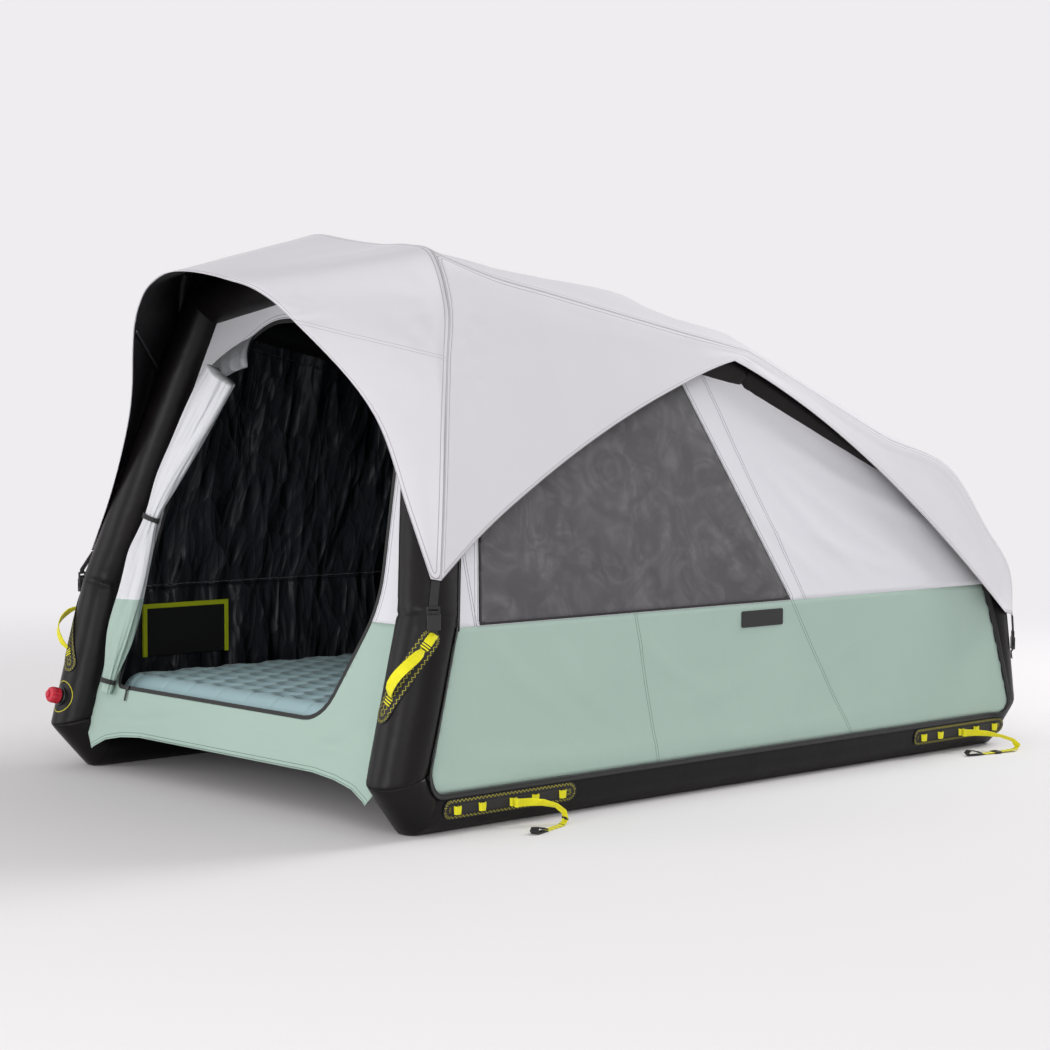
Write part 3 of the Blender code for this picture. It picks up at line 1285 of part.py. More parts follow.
build_frame()
build_front_wall()
build_side_walls()
build_roof_and_rear()
build_floor()
build_pocket()
build_tag()
build_rolled_door()
build_zip_slider()
FLY_GRID = build_fly()
build_buckles(FLY_GRID)
build_anchor_webbing()
build_handles()
ADJUSTER_CENTRE = build_straps()
build_valve()


# Origins on the joints' axes


def put_origin(name, point):
    """Move an object's origin to a point and leave its mesh where it is."""
    made = PARTS.objects[name]
    made.data.transform(Matrix.Translation(-point))
    made.location = point


HANDLE_TOP = handle_surface(handle_ends()[0], 0.0, PATCH_OUTER)
SIDED_ORIGINS = (("carry_handle", HANDLE_TOP), ("tie_strap_front", knot_centre(ANCHOR_FRONT)),
                 ("tie_strap_rear", knot_centre(ANCHOR_REAR)), ("strap_adjuster", ADJUSTER_CENTRE))
for stem, place in SIDED_ORIGINS:
    put_origin(stem + "_right", place)
    put_origin(stem + "_left", flip(place))
put_origin("zip_slider", slider_plane().translation)
put_origin("zip_pull", pull_hinge())
put_origin("valve_cap", valve_plane().translation)

for shown in PARTS.objects:
    shown.data.shade_smooth()
    shown.data.set_sharp_from_angle(angle=math.radians(40))
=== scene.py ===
"""Looks for the two-person inflatable van tent: inflated sleeves, tent cloth, webbing and an airbed.

Every cloth piece starts as a grid of faces that is laid over the frame's own points. The pieces
stand for the plain solids, and the hard fittings are the CAD model's own.
"""

import math

import bmesh
import bpy
import numpy as np
from mathutils import Matrix, Vector, noise


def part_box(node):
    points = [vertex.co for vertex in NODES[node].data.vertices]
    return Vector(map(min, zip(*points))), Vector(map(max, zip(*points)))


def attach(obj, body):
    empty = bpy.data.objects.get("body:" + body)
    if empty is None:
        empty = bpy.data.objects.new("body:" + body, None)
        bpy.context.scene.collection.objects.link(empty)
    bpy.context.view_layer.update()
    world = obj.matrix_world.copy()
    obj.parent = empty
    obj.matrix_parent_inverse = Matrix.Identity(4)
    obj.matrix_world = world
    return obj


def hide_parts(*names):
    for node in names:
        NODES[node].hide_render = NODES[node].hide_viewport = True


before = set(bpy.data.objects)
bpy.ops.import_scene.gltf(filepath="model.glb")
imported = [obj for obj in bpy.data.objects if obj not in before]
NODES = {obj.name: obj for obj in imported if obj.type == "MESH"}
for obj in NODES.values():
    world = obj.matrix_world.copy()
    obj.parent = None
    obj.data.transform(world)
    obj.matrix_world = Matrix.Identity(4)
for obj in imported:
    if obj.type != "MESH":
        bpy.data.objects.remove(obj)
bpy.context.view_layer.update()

# the vector noise of the folds starts from here, so that each run gives the same cloth
noise.seed_set(1795706918)

# Sizes that the CAD model gives its frame

TUBE_RADIUS = 0.066
SIDE_LEAN = 0.272
FRONT_LEAN = 0.2595
REAR_LEAN_LOW = 0.130
REAR_LEAN_HIGH = 0.601
KNEE_HALF_WIDTH = 0.649
KNEE_HEIGHT = 0.465
PANEL_OFFSET = 0.040
SEAM_HEIGHT = 0.4435
SHEET_RADIUS = TUBE_RADIUS + 0.006
BASE_HEIGHT = TUBE_RADIUS - 0.004
FRONT_FOOT_Y = -0.995


def behind(distance):
    """Y of a point this far behind the front foot's contact with the ground."""
    return FRONT_FOOT_Y + distance


def front_wall_y(z):
    return behind(0.062) + FRONT_LEAN * (z - KNEE_HEIGHT)


def leaning_x(z):
    return KNEE_HALF_WIDTH - SIDE_LEAN * (z - KNEE_HEIGHT)


def side_panel_x(z):
    return leaning_x(z) + PANEL_OFFSET


def rear_wall_y(z):
    return behind(2.026) - (REAR_LEAN_LOW if z < KNEE_HEIGHT else REAR_LEAN_HIGH) * (z - KNEE_HEIGHT)


BASE_A = Vector((0.644, behind(0.030), BASE_HEIGHT))
ANKLE_A = Vector((0.655, front_wall_y(0.128), 0.128))
KNEE_A = Vector((KNEE_HALF_WIDTH, behind(0.062), KNEE_HEIGHT))
SHOULDER_A = Vector((leaning_x(1.190), front_wall_y(1.190), 1.190))
SHOULDER_M = Vector((leaning_x(1.013), behind(1.181), 1.013))
SHOULDER_B = Vector((leaning_x(0.683), rear_wall_y(0.683), 0.683))
KNEE_B = Vector((KNEE_HALF_WIDTH, behind(2.026), KNEE_HEIGHT))
ANKLE_B = Vector((0.655, rear_wall_y(0.128), 0.128))
BASE_B = Vector((0.644, behind(2.017), BASE_HEIGHT))
SIDE_LOOP = [BASE_A, ANKLE_A, KNEE_A, SHOULDER_A, SHOULDER_M, SHOULDER_B, KNEE_B, ANKLE_B, BASE_B]
FRONT_PEAK = Vector((0, front_wall_y(1.262), 1.262))
MID_PEAK = Vector((0, SHOULDER_M.y + 0.029, 1.163))
REAR_PEAK = Vector((0, rear_wall_y(0.763), 0.763))
HEADERS = {"front": (SHOULDER_A, FRONT_PEAK), "mid": (SHOULDER_M, MID_PEAK), "rear": (SHOULDER_B, REAR_PEAK)}


def flip(point):
    return Vector((-point.x, point.y, point.z))


def at_height(low, high, z):
    return low.lerp(high, (z - low.z) / (high.z - low.z))


def at_y(start, end, y):
    return start.lerp(end, (y - start.y) / (end.y - start.y))


# Colours and shader nodes


def colour(code, share=1.0):
    """A colour written as sRGB hex, turned to the linear values that a shader takes, times a share."""
    values = [int(code[i:i + 2], 16) / 255 for i in (1, 3, 5)]
    linear = [v / 12.92 if v <= 0.04045 else ((v + 0.055) / 1.055) ** 2.4 for v in values]
    return (*[min(1.0, v * share) for v in linear], 1.0)


class Nodes:
    """A node tree, with short calls for the nodes that the finishes are made of."""

    def __init__(self, tree):
        self.tree = tree

    def put(self, kind, inputs=None, **settings):
        made = self.tree.nodes.new("ShaderNode" + kind)
        for name, value in settings.items():
            setattr(made, name, value)
        self.fill(made, inputs or {})
        return made

    def fill(self, node, inputs):
        """Give each socket a value, or a link from another node's output."""
        for socket, value in inputs.items():
            if isinstance(value, bpy.types.NodeSocket):
                self.tree.links.new(value, node.inputs[socket])
            else:
                node.inputs[socket].default_value = value

    def maths(self, operation, *values):
        return self.put("Math", dict(enumerate(values)), operation=operation).outputs[0]

    def vectors(self, operation, *values, output="Vector"):
        return self.put("VectorMath", dict(enumerate(values)), operation=operation).outputs[output]

    def blended(self, share, first, second):
        return self.put("Mix", {0: share, 6: first, 7: second}, data_type="RGBA").outputs[2]

    def ramp(self, value, low, high, start=0.0, end=1.0, **settings):
        """Start below low, end above high, and an even change between them."""
        return self.put("MapRange", {0: value, 1: low, 2: high, 3: start, 4: end}, **settings).outputs[0]

    def mark(self, attribute):
        """A value that the piece's own points carry, such as their distance from a hem."""
        return self.put("Attribute", attribute_name=attribute).outputs["Fac"]

    def lines(self, value, offsets, half):
        """1 on lines of this half width, in metres, where a value equals one of the offsets."""
        masks = [self.maths("COMPARE", value, offset, half) for offset in offsets]
        total = masks[0]
        for mask in masks[1:]:
            total = self.maths("MAXIMUM", total, mask)
        return total

    def relief(self, height, strength, distance, under=None):
        """A bump, on top of the one under it."""
        inputs = {"Height": height, "Strength": strength, "Distance": distance}
        if under:
            inputs["Normal"] = under
        return self.put("Bump", inputs).outputs[0]


class Finish(Nodes):
    """A material with its shader and its coordinates."""

    def __init__(self, name):
        self.made = bpy.data.materials.new(name)
        self.made.use_nodes = True
        super().__init__(self.made.node_tree)
        self.shader = self.tree.nodes["Principled BSDF"]
        self.place = self.put("TexCoord").outputs["Object"]

    def cloud(self, scale, detail, at=None, output="Fac", distortion=0.0, **settings):
        inputs = {"Vector": at or self.place, "Scale": scale, "Detail": detail, "Distortion": distortion}
        return self.put("TexNoise", inputs, **settings).outputs[output]

    def cells(self, scale, at=None):
        return self.put("TexVoronoi", {"Vector": at or self.place, "Scale": scale}).outputs["Distance"]

    def waves(self, scale, distortion, direction):
        inputs = {"Vector": self.place, "Scale": scale, "Distortion": distortion}
        return self.put("TexWave", inputs, bands_direction=direction).outputs["Fac"]

    def parts(self):
        return self.put("SeparateXYZ", {0: self.place}).outputs

    def finished(self, shade, rough, normal, sheen=0.0, specular=0.5):
        self.fill(self.shader, {"Base Color": shade, "Roughness": rough, "Normal": normal,
                                "Sheen Weight": sheen, "Specular IOR Level": specular})
        return self.made


def cloth_finish(name, base, rough, tone=0.06, crease_mm=70.0, crease=0.25, weave=0.06, sheen=0.15,
                 stitch=None, stitch_at=(0.0035, 0.0115), seam=None, border=None):
    """Woven tent cloth: a fine weave, faint creases from packing, and rows of stitching by each hem."""
    cloth = Finish(name)
    shade = cloth.blended(cloth.cloud(3.1, 3.0), colour(base, 1 - tone), colour(base, 1 + tone))
    if stitch:
        shade = cloth.blended(cloth.lines(cloth.mark("hem"), stitch_at, 0.0009), shade, colour(stitch))
    if seam:
        twin = cloth.lines(cloth.mark("seam"), (-0.0035, 0.0035), 0.0008)
        shade = cloth.blended(twin, shade, colour(seam))
    if border:
        turned, width = border
        inside = cloth.ramp(cloth.mark("free"), width, width + 0.0004)
        shade = cloth.blended(inside, colour(turned), shade)
    # threads 0.4 mm apart are finer than a pixel, so the weave is drawn 4.7 mm apart
    warp, weft = [cloth.waves(420.0 / math.tau, 0.6, direction) for direction in ("Y", "Z")]
    fine = cloth.relief(cloth.maths("ADD", warp, weft), weave, 0.0006)
    bent = cloth.vectors("MULTIPLY", cloth.cloud(9.0, 2.0, output="Color"), (0.06, 0.06, 0.06))
    folds = cloth.cells(1000.0 / crease_mm, cloth.vectors("ADD", cloth.place, bent))
    return cloth.finished(shade, rough, cloth.relief(folds, crease, 0.006, fine), sheen, 0.35)


# polyester and cotton tent cloth, dyed pale green, matt and slightly uneven
GREEN = cloth_finish("dyed_polycotton_green", "#a9c0b5", 0.80, crease=0.16, stitch="#748c80", seam="#6f877b")
# the same cloth undyed, matt off-white
WHITE = cloth_finish("polycotton_offwhite", "#dfdfe4", 0.78, tone=0.02, crease=0.10, stitch="#9fa1a8",
                     seam="#8f9198")
# polyurethane-coated polyester fly, pale grey with a faint violet cast
FLY = cloth_finish("coated_polyester_fly", "#d5d3d8", 0.62, tone=0.012, crease=0.06, weave=0.03,
                   stitch="#a2a1a6", stitch_at=(0.0015, 0.0100), seam="#bcbbc0")
# black polyurethane coating under the fly
FLY_BACK = cloth_finish("black_fly_coating", "#1d1c1f", 0.5, tone=0.2, crease=0.35, sheen=0.0,
                        border=("#d5d3d8", 0.010))
# the silvery reflective side of the door's blackout coating
SILVER = cloth_finish("silvered_coating", "#85888b", 0.38, tone=0.10, crease_mm=40.0, crease=0.6, sheen=0.0)
# flocked thermoplastic airbed cloth, grey-blue, matt with a slight bloom
FLOCK = cloth_finish("flocked_airbed_cloth", "#a5c3c8", 0.50, tone=0.04, crease=0.03, sheen=0.15)


def lining_finish():
    """Light-proof acrylic coating on the inner side: black, crumpled, with a dull gloss on its creases."""
    lining = Finish("light_proof_coating")
    slant = lining.put("Mapping", {"Vector": lining.place, "Scale": (1.0, 1.5, 0.55),
                                   "Rotation": (0.45, 0.0, 0.0)}).outputs[0]
    bent = lining.vectors("MULTIPLY_ADD", lining.cloud(7.0, 2.0, slant, "Color"), (0.11, 0.11, 0.11), slant)
    # long folds about 200 mm apart, facets about 110 mm and 45 mm across, and crumpled ridges
    # 50 to 100 mm apart
    ridges = lining.cloud(10.0, 3.0, bent, noise_type="RIDGED_MULTIFRACTAL")
    normal = None
    for height, depth in ((lining.cloud(5.0, 1.0, slant), 0.120), (lining.cells(9.0, bent), 0.040),
                          (lining.cells(23.0, bent), 0.012), (ridges, 0.022)):
        normal = lining.relief(height, 0.8, depth, normal)
    return lining.finished(colour("#2a2c32"), 0.46, normal, specular=0.40)


def mesh_finish():
    """Insect mesh: painted highlights of the cover folded behind it, as soft curling lights, under a dark
    hem.
    """
    mesh = Finish("polyester_insect_mesh")
    # painted highlights: swirls and patches of light on the crumpled cover behind the mesh, painted into the
    # mesh's colour
    highlight_swirl = mesh.maths("SINE", mesh.maths("MULTIPLY", mesh.cloud(5.2, 3.0, distortion=1.1), 46.0))
    lights = mesh.ramp(mesh.cloud(9.0, 2.0, distortion=2.0), 0.38, 0.72)
    mixed = mesh.maths("MULTIPLY_ADD", mesh.ramp(highlight_swirl, -1.0, 1.0, 0.30, 0.70), lights, 0.35)
    shade = mesh.blended(mixed, colour("#2f2d30"), colour("#5e5c5f"))
    shade = mesh.blended(mesh.ramp(mesh.mark("hem"), 0.0055, 0.0060), colour("#232224"), shade)
    # the mesh's own holes are 1 mm apart, so they are drawn 2.5 mm apart
    return mesh.finished(shade, 0.6, mesh.relief(mesh.cells(400.0), 0.3, 0.0008))


def two_tone_finish():
    """The inner tent's cloth where one piece crosses the seam: off-white above and green below it."""
    made = GREEN.copy()
    made.name = "two_tone_polycotton"
    nodes = Nodes(made.node_tree)
    shader = nodes.tree.nodes["Principled BSDF"]
    green = shader.inputs["Base Color"].links[0].from_socket
    place = nodes.put("TexCoord").outputs["Object"]
    height = nodes.put("SeparateXYZ", {0: place}).outputs["Z"]
    upper = nodes.ramp(height, SEAM_HEIGHT - 0.004, SEAM_HEIGHT - 0.003)
    nodes.fill(shader, {"Base Color": nodes.blended(upper, green, colour("#dcdde1"))})
    return made


def sleeve_finish():
    """Polyurethane-coated nylon sleeve, charcoal, with a yellow ring round its valve."""
    sleeve = Finish("coated_nylon_sleeve")
    valve = tuple(sum(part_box("valve_base"), Vector()) / 2)
    cloud = sleeve.cloud(14.0, 4.0)
    shade = sleeve.blended(cloud, colour("#0e0c0d"), colour("#151213"))
    shade = sleeve.blended(sleeve.lines(sleeve.mark("hem"), (0.0,), 0.0012), shade, colour("#070606"))
    away = sleeve.vectors("DISTANCE", sleeve.place, valve, output="Value")
    shade = sleeve.blended(sleeve.lines(away, (0.040,), 0.0010), shade, colour("#c9c120"))
    # threads 0.5 mm apart, drawn 2 mm apart
    fine = sleeve.relief(sleeve.cloud(520.0, 1.0), 0.12, 0.0006)
    soft = sleeve.relief(sleeve.cloud(22.0, 2.0), 0.35, 0.004, fine)
    return sleeve.finished(shade, sleeve.ramp(cloud, 0.0, 1.0, 0.34, 0.44), soft, specular=0.18)


def webbing_finish(name, base="#f3ec08", low="#dcd405", hide=None, grip=None):
    """Woven polyester webbing, darker where it is worn, and black where tape or a grip covers it."""
    band = Finish(name)
    shade = band.blended(band.cloud(60.0, 2.0), colour(low), colour(base))
    x, y, z = band.parts()
    if hide:
        sewn = band.ramp(band.maths("ABSOLUTE", x), hide + 0.0006, hide)
        shade = band.blended(sewn, shade, colour("#1a1919"))
    if grip:
        folded = band.ramp(y, grip + 0.0006, grip)
        tacks = band.ramp(band.maths("PINGPONG", y, 0.009), 0.0013, 0.0010)
        low_down = band.ramp(z, 0.0166, 0.0160)
        held = band.maths("MULTIPLY", band.maths("MAXIMUM", folded, tacks), low_down)
        shade = band.blended(held, shade, colour("#141314"))
    # ribs 2 mm apart, drawn 4.6 mm apart on the slant
    ribs = band.relief(band.waves(500.0 / math.tau, 1.0, "DIAGONAL"), 0.35, 0.0005)
    return band.finished(shade, 0.7, ribs, sheen=0.1)


def moulded_finish(name, base, rough):
    """Injection-moulded plastic with a fine spark-eroded grain of about 1 mm."""
    plastic = Finish(name)
    grain = plastic.cloud(900.0, 1.0)
    shade = plastic.blended(grain, colour(base, 0.85), colour(base))
    return plastic.finished(shade, rough, plastic.relief(grain, 0.15, 0.0003))


def pocket_finish():
    """A black cloth pouch whose sides and top are bound with yellow-green tape."""
    pouch = Finish("bound_pocket_cloth")
    low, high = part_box("side_pocket")
    _, y, z = pouch.parts()
    edge = pouch.maths("MINIMUM", pouch.maths("SUBTRACT", y, low.y), pouch.maths("SUBTRACT", high.y, y))
    edge = pouch.maths("MINIMUM", edge, pouch.maths("SUBTRACT", high.z, z))
    fibre = pouch.cloud(350.0, 2.0)
    band = pouch.blended(fibre, colour("#bccb14"), colour("#d3e01e"))
    cloth = pouch.blended(fibre, colour("#060607"), colour("#0b0b0d"))
    shade = pouch.blended(pouch.ramp(edge, 0.0122, 0.0126), band, cloth)
    return pouch.finished(shade, 0.75, pouch.relief(fibre, 0.4, 0.0005))


def patch_finish():
    """Black reinforcing cloth, sewn down with yellow zigzag stitching 6 mm from stitch to stitch."""
    patch = Finish("zigzag_sewn_patch")
    swing = patch.maths("PINGPONG", patch.mark("run"), 0.0055)
    zigzag = patch.lines(patch.maths("SUBTRACT", patch.mark("hem"), swing), (0.0022, 0.0150), 0.0008)
    fibre = patch.cloud(300.0, 2.0)
    cloth = patch.blended(fibre, colour("#131213"), colour("#1f1e1e"))
    raised = patch.relief(patch.maths("ADD", fibre, zigzag), 0.4, 0.0006)
    return patch.finished(patch.blended(zigzag, cloth, colour("#b9b120")), 0.7, raised)


LINING = lining_finish()
MESH = mesh_finish()
TWO_TONE = two_tone_finish()
SLEEVE = sleeve_finish()
# bright yellow polyester webbing
YELLOW = webbing_finish("yellow_polyester_webbing")
# the anchor webbing, whose flat stretches are covered by the sewn black tape
ANCHOR = webbing_finish("anchor_webbing", hide=0.7150)
# tie straps with bar tacks and a black folded grip at the free end
STRAP_FRONT = webbing_finish("front_strap_webbing", grip=-0.7360)
STRAP_REAR = webbing_finish("rear_strap_webbing", grip=0.8620)
# black polyester webbing and tape
TAPE_BLACK = webbing_finish("black_polyester_webbing", "#1b1b1c", "#101011")
# acetal buckles and zip parts
PLASTIC = moulded_finish("black_acetal", "#19191a", 0.4)
# red polypropylene valve cap
RED = moulded_finish("red_polypropylene", "#d0203a", 0.38)
# drawn glass-fibre rod
ROD = moulded_finish("drawn_glass_fibre", "#3a3a3d", 0.45)
POCKET = pocket_finish()
PATCH = patch_finish()


# Cloth from grids of faces


def smooth_run(points, steps):
    """Points on a smooth curve through rows of points, spaced steps to an interval."""
    points = np.asarray(points, float)
    count = len(points)
    chords = np.maximum(np.linalg.norm(np.diff(points, axis=0), axis=-1, keepdims=True), 1e-6)
    slopes = np.diff(points, axis=0) / chords
    tangents = np.empty_like(points)
    tangents[0], tangents[-1] = slopes[0], slopes[-1]
    before, after = chords[:-1], chords[1:]
    tangents[1:-1] = (slopes[:-1] * after + slopes[1:] * before) / (before + after)
    run = []
    for i in range(count - 1):
        for k in range(steps + (i == count - 2)):
            t = k / steps
            a, b = 2 * t ** 3 - 3 * t ** 2 + 1, t ** 3 - 2 * t ** 2 + t
            c, d = -2 * t ** 3 + 3 * t ** 2, t ** 3 - t ** 2
            run.append(a * points[i] + b * chords[i] * tangents[i] + c * points[i + 1]
                       + d * chords[i] * tangents[i + 1])
    return np.array(run)


def straight_run(points, steps):
    """Points on straight lines through the given ones, spaced steps to an interval."""
    run = [a + (b - a) * k / steps for a, b in zip(points, points[1:]) for k in range(steps)]
    return np.array(run + [points[-1]])


def creased_run(points, steps, crease, share):
    """A smooth curve that turns more sharply at one of its points."""
    halves = [smooth_run(points[:crease + 1], steps)[:-1], smooth_run(points[crease:], steps)]
    return smooth_run(points, steps) * (1 - share) + np.concatenate(halves) * share


def step_lengths(points, axis):
    """The distance from each point of a grid to the next one along an axis."""
    return np.linalg.norm(np.diff(points, axis=axis), axis=-1)


def ripple(x, y, z):
    return noise.noise(Vector((x, y, z)))


def mesh_from(work, name):
    mesh = bpy.data.meshes.new(name)
    work.to_mesh(mesh)
    work.free()
    return mesh


def add_object(name, data):
    made = bpy.data.objects.new(name, data)
    bpy.context.scene.collection.objects.link(made)
    return made


def lay(name, points, body, finishes, closed=False, thickness=0.0, offset=-1.0, marks=None):
    """A grid of faces laid on rows of points, as one piece on a body. A closed one is a capped tube."""
    points = np.array(points, float)
    rows, columns = points.shape[:2]
    work = bmesh.new()
    layers = [(work.verts.layers.float.new(key), np.array(values)) for key, values in (marks or {}).items()]
    bmesh.ops.create_grid(work, x_segments=columns - 1, y_segments=rows - 1, size=1.0)
    for vert in work.verts:
        j = round((vert.co.x + 1) / 2 * (columns - 1))
        i = round((vert.co.y + 1) / 2 * (rows - 1))
        vert.co = Vector(points[i, j])
        for layer, values in layers:
            vert[layer] = values[i, j]
    if closed:
        bmesh.ops.remove_doubles(work, verts=work.verts, dist=0.00005)
        bmesh.ops.holes_fill(work, edges=[edge for edge in work.edges if edge.is_boundary], sides=0)
    bmesh.ops.recalc_face_normals(work, faces=work.faces)
    return dress(name, mesh_from(work, name), body, finishes, thickness, offset)


def dress(name, mesh, body, finishes, thickness=0.0, offset=-1.0):
    """Make a mesh a piece with its materials, the second one on the inner side."""
    made = add_object(name, mesh)
    for finish in finishes:
        mesh.materials.append(finish)
    mesh.shade_smooth()
    if thickness:
        solid = made.modifiers.new("cloth_thickness", "SOLIDIFY")
        solid.thickness = thickness
        solid.offset = offset
        solid.material_offset = len(finishes) - 1
    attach(made, body)
    return made


def declare_cloth(made, width, length):
    """Work out from its faces' area how long a piece of cloth of this width the sheet was cut from; nothing
    is done with the result.
    """
    area = sum(face.area for face in made.data.polygons)
    if area > width * length:
        length = area / width
    if area < 0.32 * width * length:
        length = area / (0.7 * width)


def faces_from(mesh, point):
    """Turn an open sheet's faces so that they look away from a point inside the tent."""
    if sum(face.area * (face.center - Vector(point)).dot(face.normal) for face in mesh.polygons) < 0:
        mesh.flip_normals()


def crumple(point, size, depth, seed=0.0):
    """Sharp-crested folds, as in creased coated cloth."""
    place = Vector(point) / size + Vector((seed, seed * 1.7, -seed))
    bend = noise.noise_vector(place * 0.6) * 0.8
    ridge = 1 - abs(noise.noise(place + bend)) * 2
    small = 1 - abs(noise.noise(place * 2.3 + bend)) * 2
    return depth * (ridge * 0.7 + small * 0.3)


# Air tubes

TUBE_SIDES = 48


def mitred_rings(points, closed):
    """Rings of a tube, each on the plane that halves the bend at its point."""
    count = len(points)
    rings = []
    offset = None
    for index, here in enumerate(points):
        before = points[index - 1] if index or closed else None
        after = points[(index + 1) % count] if index < count - 1 or closed else None
        arriving = (here - before if before else after - here).normalized()
        leaving = (after - here).normalized() if after else arriving
        if offset is None:
            down = Vector((0, 0, -1))
            offset = (down - arriving * down.dot(arriving)).normalized()
        normal = (arriving + leaving).normalized()
        ring = []
        for step in range(TUBE_SIDES):
            reach = Matrix.Rotation(math.tau * step / TUBE_SIDES, 3, arriving) @ offset * TUBE_RADIUS
            ring.append(here + reach - arriving * reach.dot(normal) / arriving.dot(normal))
        rings.append(ring)
        offset = arriving.rotation_difference(leaving) @ offset
    return rings


def pucker(point, spoke, bend, distance):
    """How far the sleeve is drawn in near a mitre seam, most on the inside of the bend."""
    inside = 0.5 + 0.5 * spoke.dot(bend)
    wave = noise.noise(point * 34)
    gather = math.exp(-distance / 0.030) * (0.5 + 0.5 * math.sin(wave * 9.0)) * (0.25 + 1.2 * inside)
    seam = math.exp(-(distance / 0.0045) ** 2)
    return -0.0030 * gather - 0.0016 * seam + noise.noise(point * 9) * 0.0009 - 0.0004


def air_tube(name, points, stops, node, closed_loop=True, mirror=False):
    """One sewn length of sleeve, laid from mitre to mitre."""
    rings = mitred_rings(points, closed_loop)
    count = len(points)
    rows, marks = [], []
    for piece, (first, last) in enumerate(zip(stops, stops[1:])):
        start = points[first]
        axis = (points[last] - start).normalized()
        steps = max(8, round((points[last] - start).length / 0.013))
        bends = []
        for stop in (first, last):
            bend = Vector()
            if closed_loop or 0 < stop < count - 1:
                for turn in (-1, 1):
                    bend += (points[(stop + turn) % count] - points[stop]).normalized()
            bends.append(bend.normalized())
        for k in range(1 if piece else 0, steps + 1):
            share = k / steps
            share = 0.35 * share + 0.65 * (0.5 - 0.5 * math.cos(math.pi * share))
            row, mark = [], []
            for step in range(TUBE_SIDES + 1):
                near, far = rings[first][step % TUBE_SIDES], rings[last][step % TUBE_SIDES]
                here = near.lerp(far, share)
                spoke = (here - start - axis * (here - start).dot(axis)).normalized()
                whole = (far - near).length
                distance, bend = min(whole * share, whole * (1 - share)), bends[share >= 0.5]
                here += spoke * pucker(here, spoke, bend, distance)
                here.z = max(here.z, 0.0006)
                row.append(flip(here) if mirror else here)
                mark.append(distance)
            rows.append(row)
            marks.append(mark)
    tube = lay(name, rows, "tent", [SLEEVE], closed=True, marks={"hem": marks})
    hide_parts(node)


def build_tubes():
    runs = {"base_tube": [7, 8, 0, 1], "front_leg": [1, 2, 3], "roof_rail": [3, 4, 5], "rear_leg": [5, 6, 7]}
    for stem, stops in runs.items():
        for side in ("right", "left"):
            air_tube(f"{stem}_sleeve_{side}", SIDE_LOOP, stops, f"{stem}_{side}", mirror=side == "left")
    for stem, (shoulder, peak) in HEADERS.items():
        air_tube(f"{stem}_header_sleeve", [shoulder, peak, flip(shoulder)], [0, 1, 2], f"{stem}_header",
                 closed_loop=False)


# Inner tent


def plane_of(origin, u, v):
    u, v = Vector(u).normalized(), Vector(v).normalized()
    return Matrix.Translation(origin) @ Matrix((u, v, u.cross(v))).transposed().to_4x4()


FRONT_WALL = plane_of((0, front_wall_y(0), 0), (1, 0, 0), (0, FRONT_LEAN, 1))
SIDE_WALL = plane_of((side_panel_x(SEAM_HEIGHT), 0, 0), (0, 1, 0), (0, 0, 1))
UPPER_SIDE = plane_of((side_panel_x(0), 0, 0), (0, 1, 0), (-SIDE_LEAN, 0, 1))


def sides_of(outline):
    return zip(outline, outline[1:] + outline[:1])


def span(points, axis):
    values = [point[axis] for point in points]
    return min(values), max(values)


def to_edges(points, outlines):
    """Each point's distance to the nearest edge of some closed outlines."""
    least = np.full(len(points), 9.0)
    for outline in outlines:
        for a, b in sides_of(outline):
            a, step = np.array(a), np.array(b) - np.array(a)
            share = np.clip(((points - a) @ step) / (step @ step), 0, 1)
            least = np.minimum(least, np.linalg.norm(points - a - share[:, None] * step, axis=1))
    return least


def to_lines(points, lines):
    """Each point's signed distance to the nearest of some lines, which run between two points."""
    nearest = np.full(len(points), 9.0)
    for a, b in lines:
        a, step = np.array(a), np.array(b) - np.array(a)
        away = ((points - a) @ np.array((step[1], -step[0]))) / np.hypot(*step)
        nearest = np.where(np.abs(away) < np.abs(nearest), away, nearest)
    return nearest


def within(point, outline):
    """Whether a point lies inside a closed outline."""
    inside = False
    for a, b in sides_of(outline):
        if (a[1] > point[1]) != (b[1] > point[1]):
            if point[0] < a[0] + (point[1] - a[1]) * (b[0] - a[0]) / (b[1] - a[1]):
                inside = not inside
    return inside


def above_tubes(place, plane, tubes):
    """How far a place on a plane has to be moved along its normal to lie on the sleeves of some tubes."""
    point, normal = plane @ Vector((place[0], place[1], 0.0)), plane.to_3x3() @ Vector((0, 0, 1))
    rise = 0.0
    for start, end in tubes:
        axis = (end - start).normalized()
        reach = (point - start).dot(axis)
        if -0.02 < reach < (end - start).length + 0.02:
            away, up = point - start - axis * reach, normal - axis * normal.dot(axis)
            part = away.dot(up) ** 2 - up.length_squared * (away.length_squared - (TUBE_RADIUS + 0.0012) ** 2)
            if part > 0:
                rise = max(rise, (math.sqrt(part) - away.dot(up)) / up.length_squared)
    return rise


SETTLING_STEPS = 160


def draped(work, plane, tubes):
    """The rise of each vertex of a taut sheet that is sewn down on some tubes and free elsewhere."""
    work.verts.ensure_lookup_table()
    work.verts.index_update()
    least = np.array([above_tubes(vert.co, plane, tubes) for vert in work.verts])
    one, two = np.array([[vert.index for vert in edge.verts] for edge in work.edges]).T
    held = np.array([vert.is_boundary for vert in work.verts])
    heights = np.array([vert.co.y for vert in work.verts])
    count = len(least)
    links = np.maximum(1, np.bincount(np.concatenate([one, two]), minlength=count))
    rise = least.copy()
    for _ in range(SETTLING_STEPS):
        total = np.bincount(one, rise[two], count) + np.bincount(two, rise[one], count)
        rise = np.where(held, least, np.maximum(least, total / links))
    # its stitching draws the edge down onto the sleeve, so that no light comes in beside the leg
    sewn = held & (least > 0) & (heights < heights.max() - 0.002)
    return np.where(sewn, rise - 0.0032, rise)


